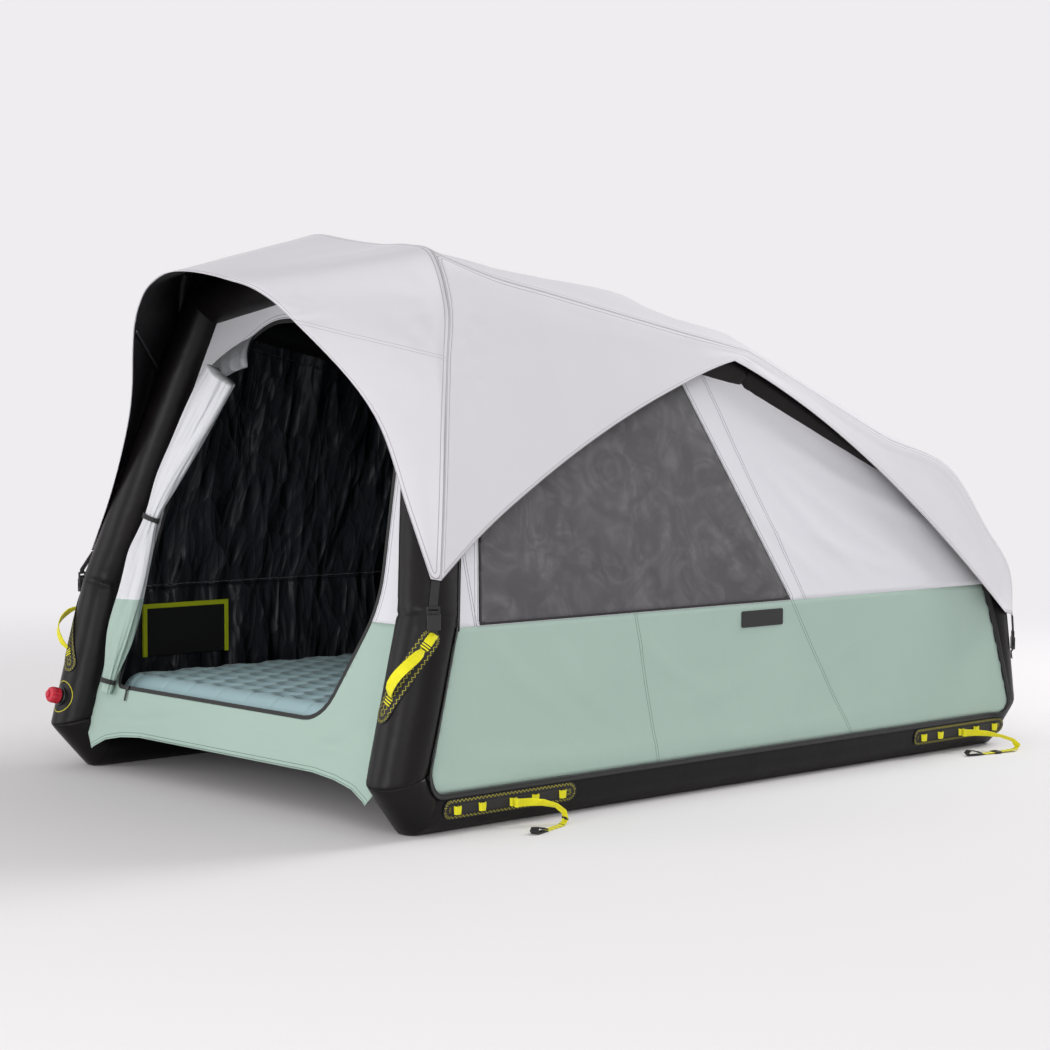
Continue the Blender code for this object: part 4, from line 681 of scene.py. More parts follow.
def cut(work, geom, a, b, **settings):
    """Cut a flat mesh along the line from a to b."""
    normal = Vector((b[1] - a[1], a[0] - b[0], 0)).normalized()
    bmesh.ops.bisect_plane(work, geom=geom, dist=0.0002, plane_co=(*a, 0), plane_no=normal, **settings)


def cut_hole(work, hole):
    """Cut the faces round a hole along its edges, and take out what lies inside."""
    reach = 0.03
    for a, b in sides_of(hole):
        box = [(min(a[k], b[k]) - reach, max(a[k], b[k]) + reach) for k in (0, 1)]
        faces = []
        for face in work.faces:
            if all(least < value < most for value, (least, most) in zip(face.calc_center_median(), box)):
                faces.append(face)
        edges = {edge for face in faces for edge in face.edges}
        verts = {vert for face in faces for vert in face.verts}
        cut(work, list(verts) + list(edges) + faces, a, b)
    gone = [face for face in work.faces if within(face.calc_center_median(), hole)]
    bmesh.ops.delete(work, geom=gone, context="FACES")


def cloth_panel(name, plane, outline, finishes, folds, node, holes=(), cell=0.013,
                thickness=0.0014, shown_hems=None, mirror=False, seams=(), over=(), raised=0.0):
    """A sewn panel: a grid trimmed to its outline, with its holes cut out and its folds pressed in."""
    (low_u, high_u), (low_v, high_v) = span(outline, 0), span(outline, 1)
    wide, tall = high_u - low_u, high_v - low_v
    work = bmesh.new()
    bmesh.ops.create_grid(work, x_segments=max(2, round(wide / cell)), y_segments=max(2, round(tall / cell)),
                          size=0.5)
    for vert in work.verts:
        vert.co.x = low_u + (vert.co.x + 0.5) * wide
        vert.co.y = low_v + (vert.co.y + 0.5) * tall
    for a, b in sides_of(outline):
        cut(work, work.verts[:] + work.edges[:] + work.faces[:], a, b, clear_outer=True)
    for hole in holes:
        cut_hole(work, hole)
    layers = [work.verts.layers.float.new(key) for key in ("hem", "seam")]
    flat = np.array([vert.co[:2] for vert in work.verts]).reshape(-1, 2)
    edge = to_edges(flat, [outline, *holes])
    sewn = edge if shown_hems is None else to_edges(flat, shown_hems)
    for vert, hem, shown, away in zip(work.verts, edge, sewn, to_lines(flat, seams)):
        u, v = vert.co.x, vert.co.y
        vert[layers[0]], vert[layers[1]] = shown, away
        gather = 0.0012 * ripple(u * 30, v * 30, 0.0) * math.exp(-min(hem, abs(away)) / 0.04)
        vert.co.z = raised + (folds(u, v) + gather) * min(1.0, hem / 0.05)
    if over:
        for vert, height in zip(work.verts, draped(work, plane, over)):
            vert.co.z += height
    bmesh.ops.transform(work, matrix=plane, verts=work.verts)
    if mirror:
        bmesh.ops.scale(work, vec=(-1, 1, 1), verts=work.verts)
    mesh = mesh_from(work, name)
    faces_from(mesh, (0, 0.2, 0.5))
    made = dress(name, mesh, "tent", finishes, thickness, 0.0)
    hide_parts(node)
    declare_cloth(made, min(wide, tall), max(wide, tall))


def on_front(outline):
    return [(x, z * math.hypot(1, FRONT_LEAN)) for x, z in outline]


def on_side(outline):
    return [(y, z * math.hypot(1, SIDE_LEAN)) for y, z in outline]


def rounded(corners, radii, steps=6):
    """A closed outline whose corners are arcs of the given radii."""
    outline = []
    for index, (corner, radius) in enumerate(zip(corners, radii)):
        if not radius:
            outline.append(corner)
            continue
        here = Vector(corner)
        before = (Vector(corners[index - 1]) - here).normalized()
        after = (Vector(corners[(index + 1) % len(corners)]) - here).normalized()
        half = before.angle(after) / 2
        centre = here + (before + after).normalized() * radius / math.sin(half)
        start = here + before * radius / math.tan(half) - centre
        turn = -1 if before.x * after.y - before.y * after.x > 0 else 1
        for step in range(steps + 1):
            angle = turn * (math.pi - 2 * half) * step / steps
            outline.append(tuple(centre + Matrix.Rotation(angle, 2) @ start))
    return outline


DOOR = rounded([(-0.506, 0.213), (0.355, 0.213), (0.485, 0.480), (0.415, 0.990), (0.160, 1.137),
                (-0.160, 1.137), (-0.425, 0.985)], [0.020, 0.110, 0.250, 0.100, 0.200, 0.200, 0.100])
ARCH_HALF = [(0.700, -0.050), (0.650, -0.010), (0.614, 0.016), (0.588, 0.040), (0.555, 0.064), (0.508, 0.085),
             (0.440, 0.098), (0.360, 0.105)]
ARCH = [(-0.700, -0.050), *ARCH_HALF, *[(-x, z) for x, z in ARCH_HALF[:0:-1]]]


def ridges(u, v, lines):
    """Soft folds along some lines, each given by its ends, height and half width."""
    total = 0.0
    for u0, v0, u1, v1, height, half in lines:
        du, dv = u1 - u0, v1 - v0
        length = math.hypot(du, dv)
        share = ((u - u0) * du + (v - v0) * dv) / length ** 2
        if -0.15 < share < 1.15:
            bow = 0.02 * math.sin(math.pi * share)
            away = ((u - u0) * dv - (v - v0) * du) / length - bow
            fade = max(0.0, math.sin(math.pi * (share + 0.15) / 1.3))
            total += height * math.exp(-(away / half) ** 2) * fade
    return total


FRONT_FOLDS = [(-0.60, 0.13, -0.12, 0.20, 0.0060, 0.016), (-0.60, 0.16, -0.30, 0.15, 0.0045, 0.012),
               (-0.58, 0.20, -0.16, 0.12, 0.0050, 0.018), (-0.40, 0.20, -0.02, 0.13, 0.0050, 0.014),
               (-0.25, 0.19, 0.22, 0.12, 0.0040, 0.014), (0.60, 0.12, 0.18, 0.19, 0.0050, 0.016),
               (0.60, 0.17, 0.30, 0.14, 0.0045, 0.013), (0.62, 0.22, 0.40, 0.17, 0.0050, 0.016),
               (0.02, 0.20, 0.34, 0.15, 0.0040, 0.012), (0.55, 0.44, 0.52, 0.22, 0.0040, 0.018)]
SIDE_FOLDS = [(-0.80, 0.42, -0.55, 0.22, 0.0030, 0.020), (-0.62, 0.42, -0.42, 0.20, 0.0030, 0.022),
              (-0.36, 0.41, -0.10, 0.24, 0.0028, 0.018), (-0.28, 0.22, 0.16, 0.30, 0.0026, 0.024),
              (0.26, 0.24, 0.55, 0.40, 0.0030, 0.022), (0.70, 0.40, 0.92, 0.20, 0.0026, 0.024),
              (-0.85, 0.16, -0.30, 0.13, 0.0034, 0.020), (-0.20, 0.13, 0.60, 0.15, 0.0030, 0.018)]
UPPER_FOLDS = [(0.10, 0.92, 0.74, 0.50, 0.0060, 0.022), (0.14, 0.86, 0.50, 0.50, 0.0055, 0.018),
               (0.12, 0.94, 0.90, 0.60, 0.0050, 0.022), (0.28, 0.64, 0.72, 0.50, 0.0050, 0.016),
               (0.05, 0.80, 0.34, 0.50, 0.0035, 0.014)]


def front_folds(u, v):
    return ridges(u, v, FRONT_FOLDS) + 0.0024 * ripple(u * 7 + v * 5, v * 10 - u * 3, 3.0)


def side_folds(u, v):
    return ridges(u, v, SIDE_FOLDS) + 0.0034 * ripple(u * 2.6 - v * 2, v * 5.0, 7.0)


def upper_folds(u, v):
    return ridges(u, v, UPPER_FOLDS) + 0.0030 * ripple(u * 2.4 + v, v * 3.0, 1.0)


def header_folds(u, v):
    return 0.0025 * ripple(u * 5 + v, v * 6.0, 1.0)


def mesh_folds(u, v):
    return crumple((u, v, 2.0), 0.13, 0.0022, 1.3) + 0.004 * ripple(u * 4, v * 6, 5.0)


# half the front panel's width at its foot, the height of the side panels' foot,
# and how far inside a leg's middle the side panels are sewn to it
PANEL_FOOT = 0.604
SIDE_FOOT = 0.088
LEG_INSET = 0.050
SIDE_TUBES = [(SIDE_LOOP[k], SIDE_LOOP[k + 1]) for k in range(-4, 3)]


def side_outline():
    """The green side panel's sewn edge, which runs on the sleeves of the base tube and the legs."""
    front, rear = math.hypot(1, FRONT_LEAN), math.hypot(1, REAR_LEAN_LOW)
    corners = [(front_wall_y(SIDE_FOOT) + 0.047 * front, SIDE_FOOT),
               (rear_wall_y(SIDE_FOOT) - 0.006 * rear, SIDE_FOOT),
               (rear_wall_y(SEAM_HEIGHT) - LEG_INSET * rear, SEAM_HEIGHT),
               (front_wall_y(SEAM_HEIGHT) + LEG_INSET * front, SEAM_HEIGHT)]
    return rounded(corners, [0.036, 0.032, 0.0, 0.0], steps=8)


def window_outline(rear_foot, rear_top, sill, below_rail):
    """A side window between its sill and a line below the roof rail, on the upper side panel."""
    rail = [at_y(SHOULDER_A, SHOULDER_M, behind(back)) for back in (rear_top, 0.315)]
    foot = [(behind(back), SEAM_HEIGHT + sill) for back in (0.171, rear_foot)]
    return on_side(foot + [(point.y, point.z - below_rail) for point in rail])


def build_walls():
    half = [(PANEL_FOOT, 0.010), (PANEL_FOOT, 0.105), (0.66, 0.17), (0.66, SEAM_HEIGHT)]
    lower = on_front([(-PANEL_FOOT, 0.010), *half, *[(-x, z) for x, z in half[:0:-1]]])
    door, arch = on_front(DOOR), on_front(ARCH)
    cloth_panel("front_panel_low_cloth", FRONT_WALL, lower, [GREEN, LINING], front_folds,
                "front_panel_lower", holes=[door, arch], cell=0.011, shown_hems=[arch])
    upper = on_front([(-KNEE_HALF_WIDTH - 0.01, SEAM_HEIGHT), (KNEE_HALF_WIDTH + 0.01, SEAM_HEIGHT),
                      (SHOULDER_A.x, SHOULDER_A.z), (0, FRONT_PEAK.z), (-SHOULDER_A.x, SHOULDER_A.z)])
    cloth_panel("front_panel_high_cloth", FRONT_WALL, upper, [WHITE, LINING], header_folds,
                "front_panel_upper", holes=[door], cell=0.012, shown_hems=[door])
    low_seams = [[(behind(top), SEAM_HEIGHT), (behind(foot), 0.070)]
                 for top, foot in ((0.648, 0.719), (1.195, 1.430))]
    high = on_side([(front_wall_y(SEAM_HEIGHT), SEAM_HEIGHT), (rear_wall_y(SEAM_HEIGHT), SEAM_HEIGHT),
                    *[(point.y, point.z) for point in (KNEE_B, SHOULDER_B, SHOULDER_M, SHOULDER_A, KNEE_A)]])
    high_seams = [on_side([(behind(foot), SEAM_HEIGHT), (behind(top), 1.02)])
                  for foot, top in ((1.245, 1.020), (0.160, 0.160))]
    window = window_outline(1.188, 0.951, 0.0080, 0.083)
    pane = window_outline(1.190, 0.949, 0.0008, 0.081)
    for side in ("right", "left"):
        left = side == "left"
        panel = f"side_panel_high_cloth_{side}"
        cloth_panel(f"side_panel_low_cloth_{side}", SIDE_WALL, side_outline(), [GREEN, LINING], side_folds,
                    f"side_panel_lower_{side}", mirror=left,
                    seams=low_seams, shown_hems=[], over=SIDE_TUBES)
        cloth_panel(panel, UPPER_SIDE, high, [WHITE, LINING], upper_folds, f"side_panel_upper_{side}",
                    holes=[window], mirror=left,
                    seams=high_seams, shown_hems=[window])
        cloth_panel(f"side_window_mesh_{side}", UPPER_SIDE, pane, [MESH, LINING], mesh_folds,
                    f"side_window_{side}", thickness=0.0008, mirror=left,
                    raised=0.0014)


def hung(name, lines, rows, columns, node, finishes, held_by, depth=0.0, sag=0.0, seed=0.0):
    """A creased sheet between lines of points, given as front-to-rear lines of the same length."""
    wide = np.array([straight_run(line, columns) for line in np.array(lines)])
    points = straight_run(wide, rows)
    last_row, last_column = points.shape[0] - 1, points.shape[1] - 1
    for i in range(last_row + 1):
        for j in range(last_column + 1):
            u, v = i / last_row, j / last_column
            drop = crumple(points[i, j], 0.16, depth, seed) - sag * 16 * u * (1 - u) * v * (1 - v)
            points[i, j, 2] += drop * min(1.0, 10 * min(u, 1 - u, v, 1 - v))
    made = lay(name, points, "tent", finishes, thickness=0.0014, offset=0.0)
    faces_from(made.data, (0, 0.2, 0.4))
    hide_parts(node)
    width, length = sorted(float(step_lengths(points, axis).sum(axis=axis).max()) for axis in (0, 1))
    declare_cloth(made, width, length)


# Welts between the sleeves and the side panels

FLANGE = 0.010
PIPING_SIDES = 8
WELT_TOP = 0.800


def piping(name, path, radius):
    """A thin round piping along a path."""
    rows = []
    for index, here in enumerate(path):
        step = (path[min(index + 1, len(path) - 1)] - path[max(index - 1, 0)]).normalized()
        side = step.cross(Vector((0.3, 0.9, 0.2))).normalized()
        lift = side.cross(step)
        angles = [math.tau * (k % PIPING_SIDES) / PIPING_SIDES for k in range(PIPING_SIDES + 1)]
        rows.append([here + (side * math.cos(a) + lift * math.sin(a)) * radius for a in angles])
    lay(name, rows, "tent", [TAPE_BLACK], closed=True)


def fine_path(points, step):
    """A path with a point at least every step along it."""
    path = []
    for a, b in zip(points, points[1:]):
        count = max(1, round(math.dist(a, b) / step))
        path += [tuple(np.array(a) + (np.array(b) - np.array(a)) * k / count) for k in range(count)]
    return path + [points[-1]]


def welt(name, plane, path, tubes, mirror):
    """A black flange sewn flat on the sleeves along a panel's edge, with a piping between the two."""
    path = fine_path(path, 0.012)
    rows, crest = [], []
    for index, place in enumerate(path):
        before, after = Vector(path[max(index - 1, 0)]), Vector(path[min(index + 1, len(path) - 1)])
        along = (after - before).normalized()
        outward = Vector((along.y, -along.x))
        row = []
        for share in (-0.15, 0.0, 0.25, 0.5, 0.75, 1.0):
            u, v = Vector(place) + outward * FLANGE * share
            row.append(plane @ Vector((u, v, above_tubes((u, v), plane, tubes) + 0.0012)))
        crest.append(row[1] + plane.to_3x3() @ Vector((0, 0, 0.0012)))
        rows.append(row)
    if mirror:
        rows = [[flip(point) for point in row] for row in rows]
        crest = [flip(point) for point in crest]
    band = lay(f"welt_flange_{name}", rows, "tent", [TAPE_BLACK], thickness=0.0018, offset=1.0)
    faces_from(band.data, (0, 0.2, 0.3))
    length = sum(math.dist(a, b) for a, b in zip(path, path[1:]))
    declare_cloth(band, FLANGE * 1.15, length)
    piping(f"welt_piping_{name}", crest, 0.0021)


def build_welts():
    """Black flanges and pipings where the side panels are sewn to the sleeves."""
    outline = side_outline()
    low = outline[-1:] + outline[:-1]
    lean, top = math.hypot(1, FRONT_LEAN), at_height(KNEE_A, SHOULDER_A, WELT_TOP)
    foot = front_wall_y(SEAM_HEIGHT) + LEG_INSET * lean
    high = on_side([(top.y + LEG_INSET * lean, WELT_TOP), (foot, SEAM_HEIGHT - 0.008)])
    for side in ("right", "left"):
        welt(f"low_{side}", SIDE_WALL, low, SIDE_TUBES, side == "left")
        welt(f"high_{side}", UPPER_SIDE, high, [(KNEE_A, SHOULDER_A)], side == "left")


def level(end):
    """A straight line across the tent, from left to right."""
    return [flip(end), Vector((0, end.y, end.z)), end]


def build_linings():
    front, middle, rear = ([flip(shoulder), peak, shoulder] for shoulder, peak in HEADERS.values())
    for stem, lines, headers, seed in (("front", [front, middle], ("front", "mid"), 0.0),
                                       ("rear", [middle, rear], ("mid", "rear"), 2.0)):
        hung(f"roof_lining_{stem}", lines, 60, 24, f"inner_roof_{stem}", [WHITE, LINING],
             [f"{header}_header_sleeve" for header in headers], depth=0.006, sag=0.01, seed=seed)
    foot = Vector((0.655, rear_wall_y(0.1105), 0.1105))
    hung("rear_wall_cloth", [level(foot), level(KNEE_B), rear], 22, 24, "rear_panel",
         [TWO_TONE, LINING], ["rear_header_sleeve"])


# Fly sheet

HEM_APEX_BACK = 1.108


def hem_point(back):
    if back < HEM_APEX_BACK:
        share = (back - 0.070) / (HEM_APEX_BACK - 0.070)
        low, high, bow = 0.571, 1.036, 0.0475
    else:
        share = (back - HEM_APEX_BACK) / (1.990 - HEM_APEX_BACK)
        low, high, bow = 1.036, 0.371, 0.079
    z = low + (high - low) * share + 4 * bow * share * (1 - share)
    return Vector((leaning_x(z) + 0.086, behind(back), z))


def around(centre, direction, angle, radius):
    outward = direction.cross(Vector((0, 0, 1))).normalized()
    if outward.x < 0:
        outward.negate()
    top = outward.cross(direction).normalized()
    if top.z < 0:
        top.negate()
    turn = math.radians(angle)
    return centre + (outward * math.cos(turn) + top * math.sin(turn)) * radius


def spread(start, end, count):
    return [start.lerp(end, step / count) for step in range(1, count + 1)]


def roof_row(hem_back, seam_back, start, end, ridge):
    centre = at_y(start, end, behind(seam_back))
    direction = (end - start).normalized()
    hem = hem_point(hem_back)
    low = around(centre, direction, 8, SHEET_RADIUS)
    if hem.z > low.z - 0.05:
        low = hem.lerp(around(centre, direction, 40, SHEET_RADIUS), 0.6)
    seam = around(centre, direction, 40, SHEET_RADIUS)
    high = around(centre, direction, 72, SHEET_RADIUS)
    return [hem] + spread(hem, low, 4) + [seam, high] + spread(high, ridge, 3)


def rear_row(hem_back, centre, normal, corner, header):
    hem = hem_point(hem_back)
    out = normal * (SHEET_RADIUS + 0.007)
    turn = math.radians(20.0)
    fold = centre + out * math.cos(turn) + Vector((out.length * math.sin(turn), 0, 0))
    across = [centre.lerp(header, share) + out for share in (0.35, 0.68, 1.0)]
    return [hem] + spread(hem, centre + corner, 5) + [fold] + across


def fly_rows():
    """Half of the fly, as rows of points from the right hem to the ridge."""
    front = [Vector((x, behind(back), z)) for x, back, z in
             ((0.690, 0.038, 0.552), (0.603, 0.044, 0.700), (0.500, 0.037, 0.899), (0.320, -0.050, 1.107),
              (0.270, -0.075, 1.155), (0.220, -0.096, 1.186), (0.165, -0.117, 1.204), (0.110, -0.132, 1.218),
              (0.055, -0.144, 1.227), (0.0, -0.148, 1.230))]
    fold = []
    for z in (0.548, 0.700, 0.860, 1.020, 1.147):
        turn = math.radians(-19.5)
        reach = 0.079 if z == 0.548 else 0.086
        fold.append(at_height(KNEE_A, SHOULDER_A, z) + Vector((math.cos(turn), math.sin(turn), 0)) * reach)
    fold.append(SHOULDER_A + Vector((0.049, -0.048, 0.073)))
    for share, forward, rise in ((0.12, 0.036, 0.016), (0.40, 0.020, 0.005), (0.70, 0.020, 0.002),
                                 (1, 0.020, 0.001)):
        fold.append(SHOULDER_A.lerp(FRONT_PEAK, share) + Vector((0, -forward, SHEET_RADIUS + rise)))
    halves = [front] + [[a.lerp(b, share) for a, b in zip(front, fold)] for share in (0.36, 0.70)] + [fold]
    mid_ridge = MID_PEAK + Vector((0, 0.022, SHEET_RADIUS - 0.002))
    rear_ridge = REAR_PEAK + Vector((0, 0.049, SHEET_RADIUS - 0.018))
    for hem_back, seam_back in ((0.180, 0.360), (0.380, 0.520), (0.600, 0.700), (0.850, 0.920)):
        ridge = at_y(fold[-1], mid_ridge, behind(seam_back))
        halves.append(roof_row(hem_back, seam_back, SHOULDER_A, SHOULDER_M, ridge))
    halves.append(roof_row(HEM_APEX_BACK, 1.181, SHOULDER_A, SHOULDER_M, mid_ridge))
    for column, share in ((7, 0.36), (8, 0.68)):
        halves[-1][column] = SHOULDER_M.lerp(MID_PEAK, share) + Vector((0, 0.022, SHEET_RADIUS - 0.001))
    for hem_back, seam_back in ((1.330, 1.400), (1.560, 1.640)):
        ridge = at_y(mid_ridge, rear_ridge, behind(seam_back))
        halves.append(roof_row(hem_back, seam_back, SHOULDER_M, SHOULDER_B, ridge))
    wall, foot = [Vector((0, 1, lean)).normalized() for lean in (REAR_LEAN_HIGH, REAR_LEAN_LOW)]
    between, hem_centre = SHOULDER_B.lerp(KNEE_B, 0.5), at_height(KNEE_B, ANKLE_B, 0.353)
    halves.append(rear_row(1.750, SHOULDER_B, Vector((0, 0.68, 0.73)), Vector((0.052, 0.020, 0.063)),
                           REAR_PEAK))
    for hem_back, centre, normal, corner in (
            (1.870, between, wall, Vector((0.065, 0.044, 0.020))),
            (1.945, KNEE_B, (wall + foot).normalized(), Vector((0.062, 0.053, 0.008))),
            (1.990, hem_centre, foot, Vector((0.057, 0.056, 0.0)))):
        halves.append(rear_row(hem_back, centre, normal, corner, Vector((0, centre.y, centre.z))))
    halves = [[clear_of_tubes(point, SHEET_RADIUS) for point in half] for half in halves]
    for half in halves:
        half[-1].x = 0.0
    return np.array([half + [flip(point) for point in reversed(half[:-1])] for half in halves])


TUBE_LINES = list(zip(SIDE_LOOP[1:-1], SIDE_LOOP[2:])) + list(HEADERS.values())


def clear_of_tubes(point, radius):
    """A point moved straight out of the air tubes, where it lies too close to one."""
    point = Vector(point)
    left = point.x < 0
    point.x = abs(point.x)
    for start, end in TUBE_LINES:
        step = end - start
        share = min(1.0, max(0.0, (point - start).dot(step) / step.length_squared))
        centre = start + step * share
        away = point - centre
        if 0 < away.length < radius:
            point = centre + away.normalized() * radius
    return flip(point) if left else point


FLY_STEPS = 8
FLY_ROWS = fly_rows()
FLY_SEAM = 5


def fly_grid(first, last, crease=None):
    """The fly's rows between two sewn folds, smoothed along and across."""
    rows = FLY_ROWS[first:last + 1]
    wide = np.array([smooth_run(row, FLY_STEPS) for row in rows])
    return creased_run(wide, FLY_STEPS, crease, 0.72) if crease else smooth_run(wide, FLY_STEPS)


def over_battens(points):
    """Lift the visor's cloth over its battens, as their sewn pockets do."""
    for side in ("right", "left"):
        batten = NODES[f"visor_batten_{side}"].data
        ends = [[batten.vertices[index].co for index in edge.vertices] for edge in batten.edges]
        rods = np.array([a.lerp(b, step / 8) for a, b in ends for step in range(9)])
        normals = surface_normals(points)
        if normals[0, points.shape[1] // 2, 2] < 0:
            normals = -normals
        lift = np.zeros(points.shape[:2])
        for rod in rods:
            away = np.linalg.norm(points - rod, axis=-1)
            i, j = np.unravel_index(away.argmin(), away.shape)
            needed = (rod - points[i, j]) @ normals[i, j] + 0.0030
            lift = np.maximum(lift, max(0.0, needed) * np.exp(-(away / 0.10) ** 2))
        # the last row is sewn to the side panels, so it stays where it is
        lift[-1] = 0.0
        points = points + normals * lift[:, :, None]
    return points


def pocket_distance(points):
    """How far inside the line of its batten pocket each point of the visor lies, measured on the cloth."""
    batten = NODES["visor_batten_right"].data
    ends = sorted((vertex.co.copy() for vertex in batten.vertices), key=lambda place: place.y)
    along = (ends[-1] - ends[0]).normalized()
    middle = sum(ends, Vector()) / len(ends)
    near = np.unravel_index(np.linalg.norm(points - np.array(middle), axis=-1).argmin(), points.shape[:2])
    inward = Vector(surface_normals(points)[near]).cross(along).normalized()
    inward = -inward if inward.x > 0 else inward
    mirrored = np.stack([np.abs(points[..., 0]), points[..., 1], points[..., 2]], axis=-1)
    return (mirrored - np.array(middle)) @ np.array(inward)


def surface_normals(points):
    along, across = np.gradient(points, axis=0), np.gradient(points, axis=1)
    normals = np.cross(across, along)
    return normals / np.maximum(np.linalg.norm(normals, axis=-1, keepdims=True), 1e-9)


def fly_piece(name, points, node, free, extra=None):
    """A panel of the fly with its hems marked and faint tension folds."""
    across = np.pad(step_lengths(points, 1).cumsum(axis=1), ((0, 0), (1, 0)))
    along = np.pad(step_lengths(points, 0).cumsum(axis=0), ((1, 0), (0, 0)))
    reaches = {"right": across, "left": across[:, -1:] - across, "front": along, "rear": along[-1:] - along}
    hem = np.minimum.reduce(list(reaches.values()))
    border = np.minimum.reduce([reaches[edge] for edge in free])
    normals = surface_normals(points)
    if normals[0, len(normals[0]) // 2, 2] < 0 or normals[len(normals) // 2, 2, 2] < -0.5:
        normals = -normals
    for i in range(points.shape[0]):
        for j in range(points.shape[1]):
            lift = fly_folds(points[i, j]) * min(1.0, hem[i, j] / 0.06)
            points[i, j] += normals[i, j] * lift
            points[i, j] = clear_of_tubes(points[i, j], SHEET_RADIUS - 0.003)
    made = lay(name, points, "fly", [FLY, FLY_BACK], thickness=0.0016, offset=1.0,
               marks={"hem": hem, "free": border, **(extra or {})})
    faces_from(made.data, (0, 0.1, 0.5))
    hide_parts(node)
    declare_cloth(made, float(across[:, -1].max()), float(along[-1].max()))


FOLD_ROOTS = [(Vector(FLY_ROWS[3][4]), 0.11), (Vector(FLY_ROWS[3][3]), 0.12), (Vector(FLY_ROWS[8][4]), 0.14),
              (Vector(FLY_ROWS[0][3]), 0.08)]


def fly_folds(point):
    """Slow waves, and small tension folds that fan out from where the fly is pulled."""
    point = Vector((abs(point[0]), point[1], point[2]))
    lift = 0.0030 * ripple(point.x * 4, point.y * 6, point.z * 2)
    lift += 0.0010 * ripple(point.x * 13, point.y * 13, point.z * 9)
    for root, reach in FOLD_ROOTS:
        away = point - root
        share = away.length / reach
        if share < 2.2:
            fan = math.sin(math.atan2(away.z, away.y + 0.4 * away.x) * 11 + root.z * 9)
            lift += 0.0026 * fan * math.exp(-(share - 0.35) ** 2 * 2.5)
    return lift


def build_fly():
    visor = over_battens(fly_grid(0, 3))
    fly_piece("fly_visor_cloth", visor, "fly_visor",
              ["front", "right", "left"], {"seam": pocket_distance(visor)})
    body = fly_grid(3, len(FLY_ROWS) - 1, crease=5)
    seam = FLY_SEAM * FLY_STEPS
    fly_piece("fly_roof_cloth", body[:, seam:-seam].copy(), "fly_roof", ["rear"])
    for side, part in (("right", body[:, :seam + 1]), ("left", body[:, -seam - 1:])):
        fly_piece(f"fly_side_cloth_{side}", part.copy(), f"fly_side_{side}",
                  [side, "rear"])


# Rolled door

# the roll's middle on the front wall and its half width, from the top down
ROLL_STATIONS = ((-0.276, 0.992, 0.059), (-0.312, 0.930, 0.061), (-0.366, 0.840, 0.058),
                 (-0.430, 0.730, 0.048), (-0.482, 0.636, 0.028), (-0.482, 0.550, 0.045),
                 (-0.480, 0.450, 0.049), (-0.490, 0.340, 0.050), (-0.521, 0.225, 0.024),
                 (-0.525, 0.196, 0.020))
ROLL_SIDES = 96


def build_roll():
    """The door rolled to its hinge side and gathered by two ties."""
    stations = smooth_run(np.array(ROLL_STATIONS), 14)
    normal = FRONT_WALL.to_3x3() @ Vector((0, 0, 1))
    rows = []
    ties = (ROLL_STATIONS[4][1], ROLL_STATIONS[8][1])
    for index, (x, z, radius) in enumerate(stations):
        low, high = stations[min(index + 1, len(stations) - 1)], stations[max(index - 1, 0)]
        rise = high[1] - low[1]
        across = Vector((high[0] - low[0], FRONT_LEAN * rise, rise)).cross(normal).normalized()
        depth = radius * 0.55
        centre = Vector((x, front_wall_y(z), z)) + normal * (0.0047 + depth)
        near = min(abs(z - tie) for tie in ties)
        pinch = math.exp(-near / 0.045)
        row = []
        for step in range(ROLL_SIDES + 1):
            angle = math.tau * (step % ROLL_SIDES) / ROLL_SIDES
            pleat = 0.16 * pinch * (math.sin(angle * 9 + 1.0) - 1) if near > 0.002 else -0.08
            round_x, round_y = math.cos(angle), math.sin(angle)
            drape = 0.22 * ripple(round_x * 1.7, round_y * 1.7, z * 4.5)
            drape += 0.10 * ripple(round_x * 4.5, round_y * 4.5, z * 9.0)
            layer = -0.16 * math.exp(-((angle - 3.6 - 0.5 * math.sin(z * 5)) / 0.10) ** 2)
            scale = 0.965 + pleat + (min(0.03, drape - 0.06) + layer) * (1 - 0.7 * pinch)
            row.append(centre + (across * round_x * radius + normal * round_y * depth) * scale)
        rows.append(row)
    roll = lay("rolled_door_cloth", rows, "tent", [TWO_TONE], closed=True)
    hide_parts("rolled_door")


def build_door_flap():
    """The door's silvery inner side, where the roll opens out at its top under the arch."""
    arch = [(-0.424, 0.986), (-0.390, 1.019), (-0.345, 1.048), (-0.292, 1.074), (-0.222, 1.098)]
    roll = [(-0.372, 0.950), (-0.334, 0.972), (-0.292, 0.992), (-0.250, 1.008), (-0.196, 1.020)]
    top, low = smooth_run(np.array(arch), 8), smooth_run(np.array(roll), 8)
    rows = []
    for i in range(13):
        share = i / 12
        row = []
        for j, ((xa, za), (xb, zb)) in enumerate(zip(top, low)):
            x, z = xa + (xb - xa) * share, za + (zb - za) * share
            pleat = 0.006 * math.sin(j * 1.05 + share * 2.0) * math.sin(math.pi * share) ** 0.5
            belly = 0.020 * math.sin(math.pi * share / 1.4)
            row.append((x, front_wall_y(z) - 0.004 - belly - pleat, z))
        rows.append(row)
    flap = lay("door_flap", rows, "tent", [SILVER], thickness=0.0012, offset=0.0)
    declare_cloth(flap, 0.09, 0.24)


# Airbed

TUFT_PITCH = 0.082
TUFT_ROW = 0.066
WELD_PITCH = 0.118
WELD_LENGTH = 0.10


